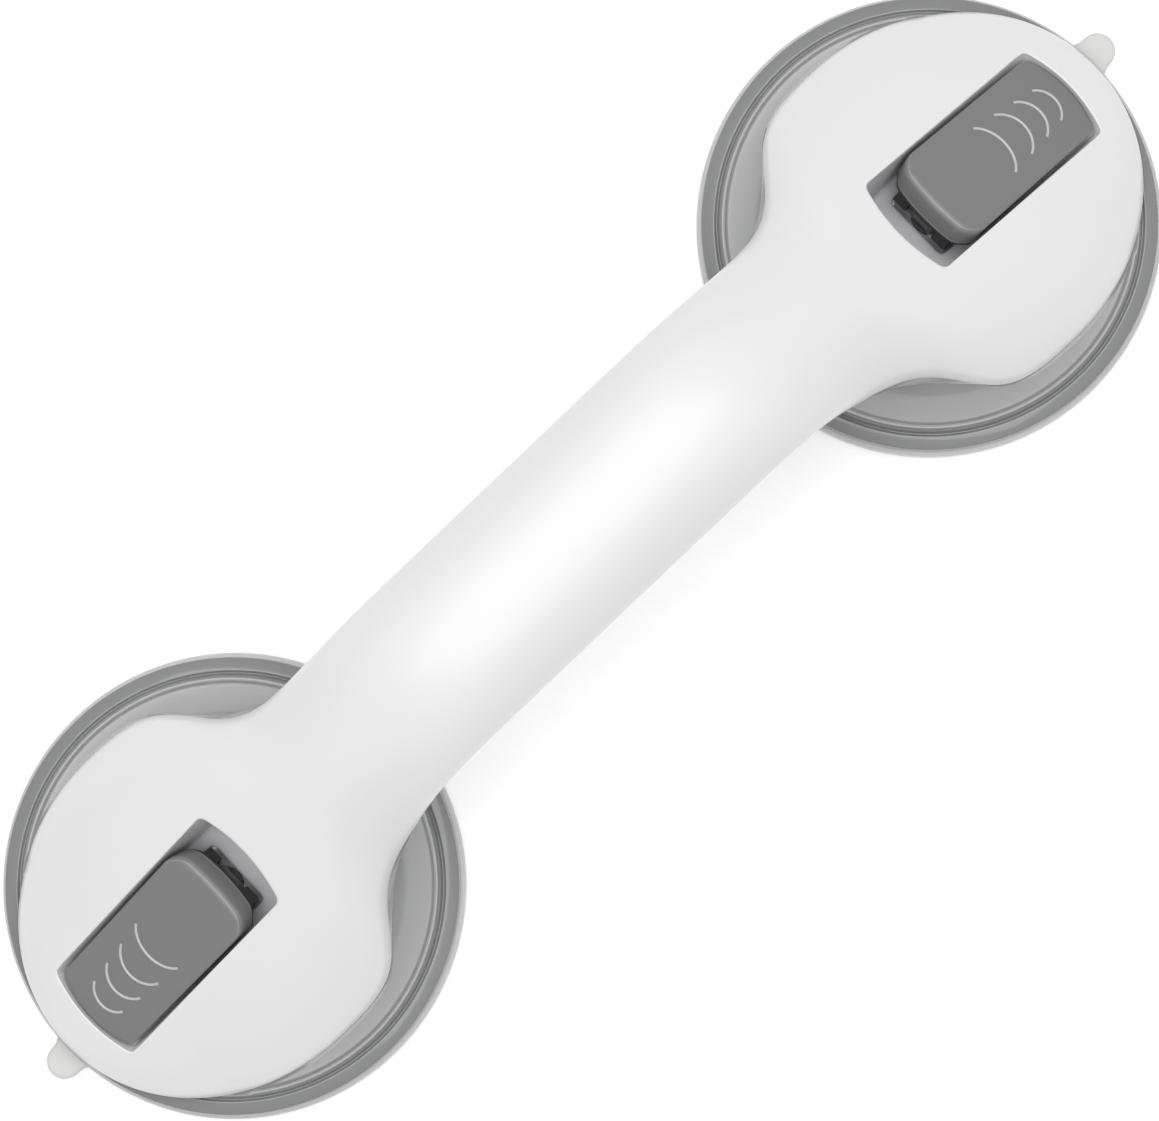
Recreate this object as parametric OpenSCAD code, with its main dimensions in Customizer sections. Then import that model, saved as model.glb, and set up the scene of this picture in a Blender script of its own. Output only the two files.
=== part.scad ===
// Suction grab bar: a hollow handle in two shells on two suction cups, each with
// its own housing and cam lever. The wall is the plane z = 0, the origin lies
// midway between the cups, +X runs along the bar and +Z points away from the wall.

/* [Handle] */
// Distance between the axes of the two cups
cup_spacing = 202; // [190:1:400]
// Width of the grip
grip_w = 36.6; // [32:0.2:40]
// Height of the grip
grip_h = 30; // [26:0.5:36]
// Free height for the fingers between wall and grip
finger_room = 45; // [42:0.5:60]
// Wall thickness of the two handle shells
shell_wall = 2.4; // [2:0.1:2.8]

/* [Pads] */
// How far the side edges of a pad stand in from the cup rim
pad_inset = 10; // [9:0.1:11]
// How far the end of a pad stands in from the cup rim
pad_end_inset = 1.2; // [1:0.1:3]
// Slope of the pad surface, in degrees
pad_slope = 31; // [28:0.5:33]

/* [Lever] */
// Length of the lever from its pin to the middle of its tip
lever_reach = 41; // [37:0.1:42]
// Width of the lever at its pin
lever_w = 21.6; // [18:0.1:26]
// Thickness of the lever at its tip
lever_tip_t = 3; // [2.6:0.1:3.4]
// Height of the lever's top face above the pin axis
lever_top = 7.5; // [7:0.1:8.5]
// Slope of the locked lever, in degrees
lever_slope = 30; // [27:0.5:32]
// How far the lever swings up, in degrees
lever_swing = 85; // [60:1:90]
// Width of the cam under the lever
cam_w = 14.4; // [12.5:0.1:16.5]
// Distance from the pin to the cam seat when the lever is locked
cam_lock = 7.5; // [7:0.1:8.5]
// How far the locked cam lifts the middle of the cup
cup_lift = 3; // [2:0.1:3.2]
// Gap between the lever and the side of its recess
lever_gap = 0.9; // [0.8:0.1:2]
// Gap between the lever tip and the end of its recess
tip_gap = 0.7; // [0.5:0.1:1.5]

/* [Pin and stud] */
// Diameter of the lever pin
pin_d = 3; // [2.5:0.1:3.6]
// Diameter of the pull stud
stud_d = 8.4; // [7:0.1:9.4]
// Thickness of the stud head between the cam cheeks
stud_head_t = 7; // [5:0.1:8.4]
// Diameter of the disc that is moulded into the cup
stud_disc_d = 18; // [15:0.5:20]
// Thickness of that disc
stud_disc_t = 2.2; // [1.6:0.1:2.6]

/* [Suction cup] */
// Diameter of the cup
cup_d = 98; // [94:0.5:118]
// Thickness of the cup rim
cup_rim_t = 3; // [2.4:0.1:3.4]
// Width of the flat sealing ring
seal_w = 6; // [4:0.5:9]
// Height of the hollow under the middle of the locked cup
cup_hollow = 3.6; // [3.5:0.1:3.9]
// Width of the peel tab at its tip
tab_w = 7.5; // [6:0.5:12]
// How far the peel tab stands out from the rim
tab_out = 6.2; // [4:0.2:9]
// Turn of the peel tab about the cup axis, in degrees
tab_turn = 2.5; // [-20:0.5:20]

/* [Cup housing] */
// How far the flange stands in from the cup rim
flange_inset = 1; // [0.6:0.1:2]
// Width of the two bands on the flange
flange_w = 5.1; // [4.5:0.1:6]
// Height of the flange edge
flange_h = 3.8; // [3.4:0.1:4.2]
// Height of the dome above the flange
dome_h = 22.3; // [20:0.1:24]
// Wall thickness of the housing
housing_wall = 2.2; // [1.8:0.1:2.4]
// Height of the cam seat above the wall
seat_z = 20.4; // [20:0.1:21]

/* [Plate and screws] */
// Thickness of the wear plate under the cam
plate_t = 1.2; // [0.8:0.1:1.4]
// Length of the wear plate from the stud axis
plate_l = 8; // [6:0.1:8.4]
// Diameter of the screws
screw_d = 3; // [2.5:0.1:3.5]
// Diameter of the screw heads
head_d = 5.4; // [5:0.1:6]
// Height of the screw heads
head_h = 1.8; // [1.4:0.1:2.2]
// Distance of the housing screws from the cup axis
screw_ring_r = 26; // [24:0.5:27]

/* [Hidden] */
$fn = 64;

// Clearances
run_gap = 0.08;      // pin and stud in their holes, on the radius
press_gap = 0.02;    // pin in the lever, on the radius
cam_gap = 0.05;      // cam over its seat
part_gap = 0.15;     // between shells and housing
soft_gap = 0.3;      // rubber against the moving stud
cheek_gap = 0.3;     // stud head between the cheeks
eps = 0.01;

// Places that everything shares
axis_x = cup_spacing / 2;
grip_z = finger_room + grip_h / 2;
grip_top = finger_room + grip_h;
cup_r = cup_d / 2;
pin_z = seat_z + cam_gap + cam_lock;

// Cup and flange
flange_r = cup_r - flange_inset;
flange_z = cup_rim_t + part_gap;
flange_top = flange_z + flange_h;
foot_r = flange_r - flange_w;
foot_z = flange_top + 2.2;
band_step = 0.6;
dome_round = 2.53;
dome_fall = 0.77;
seal_r = cup_r - seal_w;
hub_r = stud_disc_d / 2 + 3;
disc_z = cup_hollow + 1.6;
hub_top = disc_z + stud_disc_t + 2.6;

// Pad outline, measured outboard from the cup axis
pad_reach = cup_r - pad_end_inset;
pad_half = cup_r - pad_inset;
pad_mid = 3;
round_power = 2.05;
shoulder_d = -pad_half / 2;
shoulder_share = 0.7;
shoulder_run = 3.4;
flare_d = -pad_half * 4 / 3;
neck_d = -pad_half;
neck_run = 6;
neck_level = 17;
neck_end_d = neck_level - pad_half;
leg_d = -foot_r - 3;
leg_run = 4.5;
leg_floor = 4;
pad_edge_z = flange_top + 0.6;
top_blend = 4;
tip_flush = 0.7;     // pad surface over the lever tip
pad_rim = 1.9;       // least height of the pad over its seam

// Recess for the lever
recess_half = lever_w / 2 + lever_gap;
recess_in = 8.4;
recess_bulge = 2;
recess_floor = seat_z - 0.4;
floor_t = 1.6;
level_end = plate_l + 3;
window_half = cam_w / 2 + 0.6;
window_in = 4.8;
window_out = plate_l + 0.4;
window_round = 0.9;
scoop_r = 9;
scoop_depth = 0.8;
scoop_out = 3;

// Housing boss
boss_r = 10.8;
boss_top = recess_floor - floor_t - part_gap;
boss_low = hub_top + 0.9;
plate_in = 3.4;
well_l = window_in - plate_in;
well_depth = 4;
screw_angles = [60, 120, 240, 300];
housing_screw_l = 10;
seat_drop = 0.6;

// Handle screws
leg_screw_gap = 11.1;
outer_screw_x = axis_x + leg_d - leg_screw_gap;
inner_screw_x = 20;
shell_screw_x = [-outer_screw_x, -inner_screw_x, inner_screw_x, outer_screw_x];
shell_screw_l = 16;
bore_depth = 4;
boss_wall = 2;

// Half the length of the flat stud head
stud_head_half = stud_d / 2 - 0.6;

// Lever profile, along the lever (u) and square to it (n), from the pin axis
cam_rate = cup_lift / (lever_swing * PI / 180);
lever_back = 4.8;
back_lean = 1;
back_bulge = 1.5;
back_corner = 4;
back_round = 1.6;
cam_back_u = -2.9;
tip_round = 1.1;
tip_bulge = 2.3;
tip_corner = 1.6;
land_end = 11;
belly_u = 13;
belly_n = -0.3;
cheek_roof = lever_top - 3.1;
lever_taper = 0.25;

function logistic(t) = 1 / (1 + exp(-t));
function clamp01(t) = max(0, min(1, t));
function smooth(t) = let (c = clamp01(t)) c * c * (3 - 2 * c);
function from_axis(x) = abs(x) - axis_x;
function soft_min(a, b, k) = -k * ln(exp(-(a - b) / (2 * k)) + exp((a - b) / (2 * k))) + (a + b) / 2;

// A place on the locked lever, as [outboard of the cup axis, height]
function lever_place(u, n) = [
    u * cos(lever_slope) + n * sin(lever_slope),
    pin_z - u * sin(lever_slope) + n * cos(lever_slope)];

// Height of the dome at a radius, falling to the pad edge outside its foot
function dome_z(r) = r < foot_r
    ? foot_z + dome_h * pow(1 - pow(max(r, 0) / foot_r, dome_round), dome_fall)
    : foot_z - (foot_z - pad_edge_z) * clamp01((r - foot_r) / (pad_reach - foot_r));

// Half the width of the handle at x, drawn in by inset
function half_width(x, inset = 0) =
    let (d = from_axis(x),
        shoulder = shoulder_share * logistic((d - shoulder_d) / shoulder_run)
            + (1 - shoulder_share) * smooth(1 - d / flare_d),
        t = clamp01((d - pad_mid) / (pad_reach - inset - pad_mid)),
        end_round = pow(1 - pow(t, round_power), 1 / round_power))
    (grip_w / 2 - inset + (pad_half - grip_w / 2) * shoulder) * end_round;

// Height of the seam between the upper and the lower parts at x
function seam_z(x) =
    let (d = from_axis(x), e = max(d, neck_end_d),
        base = dome_z(norm([e, half_width(axis_x + e)])))
    base + (grip_z - base) * logistic((neck_d - d) / neck_run);

// Height of the top line at x, lowered by inset
function top_z(x, inset = 0) =
    let (tip = lever_place(lever_reach, lever_top),
        slope = tip[1] + tip_flush + tan(pad_slope) * (tip[0] - from_axis(x)),
        pad = max(slope, seam_z(x) + pad_rim))
    soft_min(grip_top - inset, pad - inset / cos(pad_slope), top_blend);

// Height of the underside of the lower shell at x, raised by inset
function low_z(x, inset = 0) =
    finger_room + inset - (finger_room - leg_floor) * logistic((from_axis(x) - leg_d) / leg_run);

function pad_share(x) = smooth((from_axis(x) - flare_d) / -flare_d);

// One ring across the handle: the upper half of it, or the lower half
function upper_ring(x, inset, drop, count) =
    let (w = half_width(x, inset), z0 = seam_z(x) - drop, rise = top_z(x, inset) - z0,
        flat = 2 + 0.2 * pad_share(x), steep = 2 - 0.2 * pad_share(x))
    [for (k = [0:count]) let (c = cos(180 * k / count), s = sin(180 * k / count))
        [x, w * sign(c) * pow(abs(c), 2 / flat), z0 + rise * pow(max(s, 0), 2 / steep)]];
function lower_ring(x, inset, lift, count) =
    let (w = half_width(x, inset), z0 = seam_z(x) - part_gap + lift, fall = z0 - low_z(x, inset),
        flat = 2 + 0.6 * pad_share(x))
    [for (k = [0:count]) let (c = cos(180 + 180 * k / count), s = sin(180 * k / count))
        [x, w * sign(c) * pow(abs(c), 2 / flat), z0 - fall * pow(max(s, 0), 2 / flat)]];

// Stations from the middle of the bar to its end, then both halves in order
station_gap = 3;
neck_room = 23;
neck_stations = ceil((foot_r + neck_room) / station_gap);
grip_end = axis_x - neck_stations * station_gap;
middle_x = [for (k = [0:3]) k * grip_end / 4];
neck_x = [for (k = [-neck_stations:pad_mid / station_gap]) axis_x + k * station_gap];
function round_x(inset) = [for (a = [7:7:84]) axis_x + pad_mid + (pad_reach - inset - pad_mid) * sin(a)];
function tip_x(inset) = axis_x + pad_mid + (pad_reach - inset - pad_mid) * sin(88.5);
function half_x(inset) = concat(middle_x, neck_x, round_x(inset), [tip_x(inset)]);
function both_ways(list) = concat([for (k = [len(list) - 1:-1:1]) -list[k]], list);
seam_x = both_ways(half_x(0));
leg_x = both_ways([for (x = concat(middle_x, neck_x)) if (from_axis(x) < -5) x]);

// A closed body through rings with the same number of points
module loft(rings) {
    n = len(rings[0]);
    last = (len(rings) - 1) * n;
    sides = [for (i = [0:len(rings) - 2], j = [0:n - 1])
        [i * n + j, (i + 1) * n + j, (i + 1) * n + (j + 1) % n, i * n + (j + 1) % n]];
    ends = [[for (j = [0:n - 1]) j], [for (j = [n - 1:-1:0]) last + j]];
    polyhedron([for (ring = rings) each ring], concat(ends, sides), convexity = 8);
}

// Children made for the right-hand end, set at one end of the bar
module at_end(side) translate([side * axis_x, 0, 0]) mirror([side < 0 ? 1 : 0, 0, 0]) children();
module both_ends() for (side = [-1, 1]) at_end(side) children();

// A flat outline in X and Z, given a width across Y
module across(width) rotate([90, 0, 0]) linear_extrude(width, center = true) children();

module handle_body(inset = 0, drop = 0, count = 20)
    loft([for (x = both_ways(half_x(inset))) upper_ring(x, inset, drop, count)]);

// Plan of the recess, grown by a margin
module recess_plan(margin = 0) {
    far = lever_place(lever_reach, lever_top)[0] + tip_gap;
    half = recess_half + margin;
    bulge = tip_bulge * cos(lever_slope);
    polygon(concat([for (k = [-6:6]) let (y = k / 6) [far + margin - bulge * y * y, half * y]],
        [for (k = [6:-1:-6]) let (y = k / 6)
            [-recess_in - margin - recess_bulge * (1 - y * y), half * y]]));
}

// Side view of the space above the recess floor, lowered by a depth
module floor_profile(depth = 0) {
    end = lever_place(lever_reach, lever_top)[0] + tip_gap;
    end_z = seam_z(axis_x + end) - part_gap + floor_t;
    fall = (recess_floor - end_z) / (end - level_end);
    far = cup_r;
    polygon([[-2 * recess_in, recess_floor - depth], [level_end, recess_floor - depth],
        [far, recess_floor - depth - fall * (far - level_end)],
        [far, grip_top], [-2 * recess_in, grip_top]]);
}

module recess_space(margin = 0, depth = 0) intersection() {
    linear_extrude(grip_top) recess_plan(margin);
    across(4 * recess_half) floor_profile(depth);
}

function screw_spots() = [for (a = screw_angles) screw_ring_r * [cos(a), sin(a)]];
function screw_seat(d) = seam_z(axis_x + d) - 2 * part_gap - housing_wall - seat_drop;

// Boss that hangs from the upper shell and takes a screw
module screw_boss(z0) hull() {
    translate([0, 0, z0]) cylinder(d = screw_d + 2 * boss_wall, h = 1, $fn = 24);
    translate([0, 0, grip_top]) cylinder(d = screw_d + 3 * boss_wall, h = 1, $fn = 24);
}
module pilot(z0, depth) translate([0, 0, z0 - eps]) cylinder(d = screw_d + 2 * press_gap, h = depth, $fn = 24);

module shell_bosses() {
    both_ends() for (spot = screw_spots()) translate(spot) screw_boss(0);
    for (x = shell_screw_x) translate([x, 0, 0]) screw_boss(0);
}
module shell_pilots() {
    both_ends() for (spot = screw_spots())
        translate(spot) pilot(screw_seat(spot[0]), housing_screw_l + 1);
    for (x = shell_screw_x)
        translate([x, 0, 0]) pilot(low_z(x) + bore_depth, shell_screw_l + 1);
}

module top_shell() color("white") difference() {
    union() {
        difference() {
            handle_body();
            handle_body(shell_wall, 1, 12);
        }
        intersection() {
            handle_body();
            union() {
                shell_bosses();
                both_ends() recess_space(floor_t, floor_t);
            }
        }
    }
    both_ends() {
        recess_space();
        linear_extrude(grip_z) window_plan();
        scoop();
    }
    shell_pilots();
}

// Plan of the window in the recess floor that the cam works through
module window_plan() {
    x0 = -window_in + window_round;
    y0 = window_half - window_round;
    polygon(concat(arc(x0, y0, window_round, 90, 180, 4), arc(x0, -y0, window_round, 180, 270, 4),
        [[window_out, -window_half], [window_out, window_half]]));
}

// Shallow hollow for a fingertip just past the lever tip
module scoop() {
    tip = lever_place(lever_reach, lever_top);
    stand = scoop_r - scoop_depth;
    translate([tip[0] + scoop_out + stand * sin(pad_slope), 0,
        tip[1] + tip_flush - scoop_out * tan(pad_slope) + stand * cos(pad_slope)])
        sphere(r = scoop_r, $fn = 48);
}

// The dome with its stepped flange, as a solid of revolution
module dome_body(grow = 0) rotate_extrude() polygon(concat(
    [[0, flange_z - grow], [flange_r - 0.4, flange_z - grow], [flange_r + grow, flange_z + 0.6],
        [flange_r + grow, flange_z + 2.2], [flange_r - 0.6 + grow, flange_top - 0.8],
        [flange_r - 3.1 + grow, flange_top], [flange_r - 3.3 + grow, flange_top - band_step],
        [flange_r - 3.7 + grow, flange_top - band_step], [flange_r - 3.8 + grow, flange_top + band_step],
        [foot_r + 0.3 + grow, foot_z - 0.6]],
    [for (k = [0:12]) let (r = foot_r * pow(cos(7.5 * k), 0.8)) [r + (r > 0.1 ? grow : 0), dome_z(r - eps) + grow]]));

// Everything below the seam, lowered by a depth
module below_seam(depth) across(4 * cup_r) polygon(concat(
    [for (x = seam_x) if (x > 0) [x - axis_x, seam_z(x) - depth]],
    [[2 * cup_r, pad_edge_z - depth], [2 * cup_r, -1], [-axis_x, -1]]));

module cup_housing() color([0.62, 0.62, 0.63]) difference() {
    union() {
        difference() {
            intersection() {
                dome_body();
                below_seam(2 * part_gap);
            }
            housing_hollow();
        }
        intersection() {
            for (spot = screw_spots())
                translate([spot[0], spot[1], screw_seat(spot[0])]) cylinder(d = head_d + 2.6, h = 4);
            below_seam(2 * part_gap);
        }
        translate([0, 0, boss_low]) cylinder(r = boss_r, h = boss_top - boss_low);
        plate_bed();
    }
    cylinder(d = stud_d + 2 * run_gap, h = grip_z);
    translate([-window_in, -cam_w / 2, boss_top - well_depth]) cube([well_l, cam_w, grip_z]);
    for (spot = screw_spots()) {
        translate(spot) cylinder(d = screw_d + 2 * part_gap, h = grip_z);
        translate([spot[0], spot[1], screw_seat(spot[0]) - 2 * head_h])
            cylinder(d = head_d + 2 * part_gap, h = 2 * head_h);
    }
}

// Raised bed that carries the wear plate
module plate_bed() translate([-plate_in, -cam_w / 2, boss_top - eps])
    cube([plate_in + plate_l, cam_w, seat_z - plate_t - boss_top + eps]);

module housing_hollow() intersection() {
    rotate_extrude() polygon(concat(
        [[0, 0], [foot_r - 0.4, 0], [foot_r - 0.4, flange_z + 1]],
        [for (k = [0:10]) let (r = (foot_r - housing_wall) * pow(cos(9 * k), 0.8))
            [r, dome_z(r * foot_r / (foot_r - housing_wall) - eps) - housing_wall]]));
    below_seam(2 * part_gap + housing_wall);
}

module lower_body(inset = 0, lift = 0, count = 16)
    loft([for (x = leg_x) lower_ring(x, inset, lift, count)]);

// Post in the lower shell around a handle screw
module screw_post(x) intersection() {
    translate([x, 0, 0]) hull() {
        translate([0, 0, finger_room - 1]) cylinder(d = head_d + 2 * boss_wall + 3, h = 1, $fn = 24);
        translate([0, 0, grip_z - 1]) cylinder(d = head_d + 2 * boss_wall, h = 1, $fn = 24);
    }
    lower_body();
}

// Rib across the lower shell
module cross_rib(x) intersection() {
    hull() for (z = [0, grip_z]) translate([x - 0.9, -grip_w, z]) cube([1.8, 2 * grip_w, 1]);
    difference() {
        lower_body();
        translate([x, 0, grip_z - 3]) cube([4, 2 * grip_w, 10], center = true);
    }
}

module bottom_shell() color([0.97, 0.97, 0.97]) difference() {
    union() {
        difference() {
            lower_body();
            lower_body(shell_wall, 1, 10);
        }
        for (x = shell_screw_x) screw_post(x);
        for (x = [-32, -8, 8, 32]) cross_rib(x);
    }
    both_ends() dome_body(part_gap);
    for (x = shell_screw_x) translate([x, 0, low_z(x)]) {
        translate([0, 0, -1]) cylinder(d = head_d + 0.8, h = bore_depth + 1, $fn = 32);
        cylinder(d = screw_d + 2 * part_gap, h = grip_z, $fn = 32);
    }
}

// Pan-head screw, head down, with the bearing face of its head at z = 0
module screw(length) difference() {
    union() {
        cylinder(d = screw_d, h = length - screw_d / 2);
        translate([0, 0, length - screw_d / 2]) cylinder(d1 = screw_d, d2 = screw_d / 4, h = screw_d / 2);
        translate([0, 0, -head_h]) cylinder(d1 = head_d - 1, d2 = head_d, h = head_h);
    }
    for (turn = [0, 90]) rotate(turn) translate([0, 0, -head_h])
        cube([head_d * 0.6, head_d * 0.14, head_h], center = true);
}

module shell_screws() color("silver") for (x = shell_screw_x)
    translate([x, 0, low_z(x) + bore_depth]) screw(shell_screw_l);

module housing_screws() color("silver") for (spot = screw_spots())
    translate([spot[0], spot[1], screw_seat(spot[0])]) screw(housing_screw_l);

module wear_plate() color([0.15, 0.15, 0.16]) translate([0, 0, seat_z - plate_t]) linear_extrude(plate_t)
    difference() {
        translate([-plate_in, -cam_w / 2]) square([plate_in + plate_l, cam_w]);
        circle(d = stud_d + 2 * soft_gap);
        translate([-2 * stud_d, -stud_d / 2 - soft_gap]) square([2 * stud_d, stud_d + 2 * soft_gap]);
    }

// Underside and upper side of the rubber cup at a radius
function cup_low(r) = cup_hollow * (1 - smooth((r - hub_r) / (seal_r - hub_r)));
function cup_high(r) = cup_rim_t + 0.9 * cup_low(r);

module suction_cup() color([0.86, 0.86, 0.84, 0.7]) {
    rotate_extrude() polygon(concat(
        [for (k = [0:8]) let (r = hub_r + k * (seal_r - hub_r) / 8) [r, cup_low(r)]],
        [[cup_r, 0], [cup_r, cup_rim_t - 0.6], [cup_r - 0.6, cup_rim_t], [seal_r + 1, cup_rim_t]],
        [for (k = [8:-1:1]) let (r = hub_r + 1 + k * (seal_r - hub_r - 1) / 8) [r, cup_high(r)]],
        [[hub_r + 0.4, cup_high(hub_r) + 1], [hub_r, hub_top - 0.8], [hub_r - 0.8, hub_top]],
        cup_socket(), [[0, cup_hollow]]));
    rotate(tab_turn) translate([0, 0, 0.5]) linear_extrude(cup_rim_t - 1.2) {
        polygon([[cup_r - 2, -tab_w / 2 - 0.6], [cup_r + tab_out - tab_w / 2, -tab_w / 2],
            [cup_r + tab_out - tab_w / 2, tab_w / 2], [cup_r - 2, tab_w / 2 + 0.6]]);
        translate([cup_r + tab_out - tab_w / 2, 0]) circle(d = tab_w);
    }
}

// Outline of the socket that the stud disc sits in, from the top of the hub down
function cup_socket() = let (neck = stud_d / 2 + soft_gap, disc = stud_disc_d / 2 + soft_gap) [
    [neck, hub_top], [neck, disc_z + stud_disc_t + soft_gap], [disc, disc_z + stud_disc_t + soft_gap],
    [disc, disc_z - soft_gap], [0, disc_z - soft_gap]];

module pull_stud() color([0.93, 0.93, 0.9]) {
    shaft_end = seat_z - plate_t;
    difference() {
        union() {
            translate([0, 0, disc_z]) cylinder(d = stud_disc_d, h = stud_disc_t);
            translate([0, 0, disc_z]) cylinder(d = stud_d, h = shaft_end - disc_z);
            intersection() {
                translate([0, 0, disc_z]) cylinder(d = stud_d, h = pin_z);
                union() {
                    translate([-stud_head_half, -stud_head_t / 2, shaft_end - 1])
                        cube([2 * stud_head_half, stud_head_t, pin_z - shaft_end + 1]);
                    translate([0, 0, pin_z]) rotate([90, 0, 0])
                        cylinder(r = stud_head_half, h = stud_head_t, center = true);
                }
            }
        }
        translate([0, 0, pin_z]) rotate([90, 0, 0])
            cylinder(d = pin_d + 2 * run_gap, h = 2 * stud_head_t, center = true);
    }
}

// Cam outline: its reach towards the seat falls evenly as the lever swings up
function cam_point(turn) =
    let (a = lever_slope - 90 - turn, reach = cam_lock - cam_rate * turn * PI / 180)
    [reach * cos(a) - cam_rate * sin(a), reach * sin(a) + cam_rate * cos(a)];
cam_line = [for (turn = [0:5:lever_swing]) cam_point(turn)];

// Where the cam meets the back of the lever, and where its flat land ends
function cam_back() = let (a = lever_slope - 90 - lever_swing, p = cam_point(lever_swing))
    [cam_back_u, p[1] + (p[0] - cam_back_u) * cos(a) / sin(a)];
function cam_land() = let (p = cam_point(0))
    [land_end, p[1] + (land_end - p[0]) * tan(lever_slope)];

function arc(cx, cy, r, from, to, steps) =
    [for (k = [0:steps]) let (a = from + (to - from) * k / steps) [cx + r * cos(a), cy + r * sin(a)]];

function lever_upper() = concat(
    arc(-lever_back + back_round, lever_top - back_round, back_round, 180, 90, 8),
    arc(lever_reach - tip_round, lever_top - tip_round, tip_round, 90, 0, 4),
    [[lever_reach, lever_top - lever_tip_t], [belly_u, belly_n]]);

module lever_body() {
    plate_low = [[-cam_back_u, belly_n], [-lever_back + back_lean, belly_n]];
    across(2 * lever_w) polygon(concat(lever_upper(), plate_low));
}
module cam_body() across(cam_w) polygon(concat(
    [cam_back(), [cam_back_u, lever_top - back_round]], [[belly_u, lever_top - back_round],
        [belly_u, belly_n], cam_land()], cam_line));

// A bulging end across the lever, with rounded corners, going from -half to half
function end_line(reach, bulge, half, corner) = [for (k = [-10:10])
    let (y = half * sin(9 * k), s = clamp01((abs(y) - half + corner) / corner))
    [reach - bulge * pow(y / half, 2) - corner * (1 - sqrt(1 - s * s)), y]];

// Plan of the lever, slightly narrower at the tip
module lever_plan() polygon(concat(
    end_line(lever_reach, tip_bulge, lever_w / 2 - 2 * lever_taper, tip_corner),
    [for (p = end_line(lever_back, back_bulge, lever_w / 2, back_corner)) [-p[0], -p[1]]]));

module lever() color([0.47, 0.47, 0.48]) translate([0, 0, pin_z]) rotate([0, lever_slope, 0])
    difference() {
        union() {
            intersection() {
                lever_body();
                linear_extrude(4 * lever_top, center = true) lever_plan();
            }
            cam_body();
        }
        cheek_slot();
        rotate([90, 0, 0]) cylinder(d = pin_d + 2 * press_gap, h = cam_w + 2, center = true);
    }

// Room for the stud head between the two cheeks of the cam
module cheek_slot() {
    half = stud_head_t / 2 + cheek_gap;
    front = stud_d / 2 * cos(lever_slope) + cam_lock * sin(lever_slope) + cheek_gap;
    translate([-2 * lever_back, -half, -2 * cam_lock])
        cube([2 * lever_back + front, 2 * half, 2 * cam_lock + cheek_roof]);
}

module lever_pin() color("silver") translate([0, 0, pin_z]) rotate([90, 0, 0])
    cylinder(d = pin_d, h = cam_w - 0.4, center = true);

module cup_housing_left() at_end(-1) cup_housing();
module cup_housing_right() at_end(1) cup_housing();
module housing_screws_left() at_end(-1) housing_screws();
module housing_screws_right() at_end(1) housing_screws();
module wear_plate_left() at_end(-1) wear_plate();
module wear_plate_right() at_end(1) wear_plate();
module suction_cup_left() rotate(180) at_end(1) suction_cup();
module suction_cup_right() at_end(1) suction_cup();
module pull_stud_left() at_end(-1) pull_stud();
module pull_stud_right() at_end(1) pull_stud();
module lever_left() at_end(-1) lever();
module lever_right() at_end(1) lever();
module lever_pin_left() at_end(-1) lever_pin();
module lever_pin_right() at_end(1) lever_pin();

top_shell();
bottom_shell();
shell_screws();
cup_housing_left();
cup_housing_right();
housing_screws_left();
housing_screws_right();
wear_plate_left();
wear_plate_right();
suction_cup_left();
suction_cup_right();
pull_stud_left();
pull_stud_right();
lever_left();
lever_right();
lever_pin_left();
lever_pin_right();
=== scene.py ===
# %% [markdown]
# # A suction grab bar
# The real bar is a hollow white handle in two shells. It stands on two grey domed
# housings, and each housing clamps a soft suction cup with a grey cam lever.
# The frame holds the exact sizes and the joints, so this lesson only dresses it:
# every shell is built from the same formulas as the part, but much more finely.

# %% Load the frame
import math

import bmesh
import bpy
import numpy as np
from mathutils import Matrix, Vector


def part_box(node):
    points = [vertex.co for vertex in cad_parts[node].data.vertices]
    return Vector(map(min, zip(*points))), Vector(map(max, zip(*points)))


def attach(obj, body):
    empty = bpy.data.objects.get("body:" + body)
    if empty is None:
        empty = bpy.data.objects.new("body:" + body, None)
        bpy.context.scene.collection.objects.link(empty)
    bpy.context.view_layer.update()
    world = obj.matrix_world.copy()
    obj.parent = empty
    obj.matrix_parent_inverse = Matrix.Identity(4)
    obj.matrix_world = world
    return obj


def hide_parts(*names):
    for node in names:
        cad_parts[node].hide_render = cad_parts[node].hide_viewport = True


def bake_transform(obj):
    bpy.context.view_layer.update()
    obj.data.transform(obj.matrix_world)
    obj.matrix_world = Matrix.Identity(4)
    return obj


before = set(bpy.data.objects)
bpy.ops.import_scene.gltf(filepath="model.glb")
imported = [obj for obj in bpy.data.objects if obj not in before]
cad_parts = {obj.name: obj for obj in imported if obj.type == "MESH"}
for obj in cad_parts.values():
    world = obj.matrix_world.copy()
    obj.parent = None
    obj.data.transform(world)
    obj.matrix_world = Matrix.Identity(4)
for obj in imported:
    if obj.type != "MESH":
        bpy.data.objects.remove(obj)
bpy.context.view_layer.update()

# %% [markdown]
# ## Sizes
# All shapes are worked out in millimetres, which is how such a bar is drawn, and
# scaled to metres when a mesh is made. Lengths that the frame knows are read from
# it. `d` always means the distance outboard of the axis of a cup.

# %% Sizes read from the frame
MM = 0.001


def box_mm(node):
    low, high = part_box(node)
    return np.array(low) / MM, np.array(high) / MM


stud_low, stud_high = box_mm("pull_stud_right")
cup_low, cup_high = box_mm("suction_cup_right")
top_high = box_mm("top_shell")[1]
pin_low, pin_high = box_mm("lever_pin_right")
axis_x = (stud_low[0] + stud_high[0]) / 2
cup_r = (cup_high[1] - cup_low[1]) / 2
grip_top = top_high[2]
pin_z = (pin_low[2] + pin_high[2]) / 2
print("cup axis", axis_x, "cup radius", cup_r, "top", grip_top, "pin", pin_z)

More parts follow.
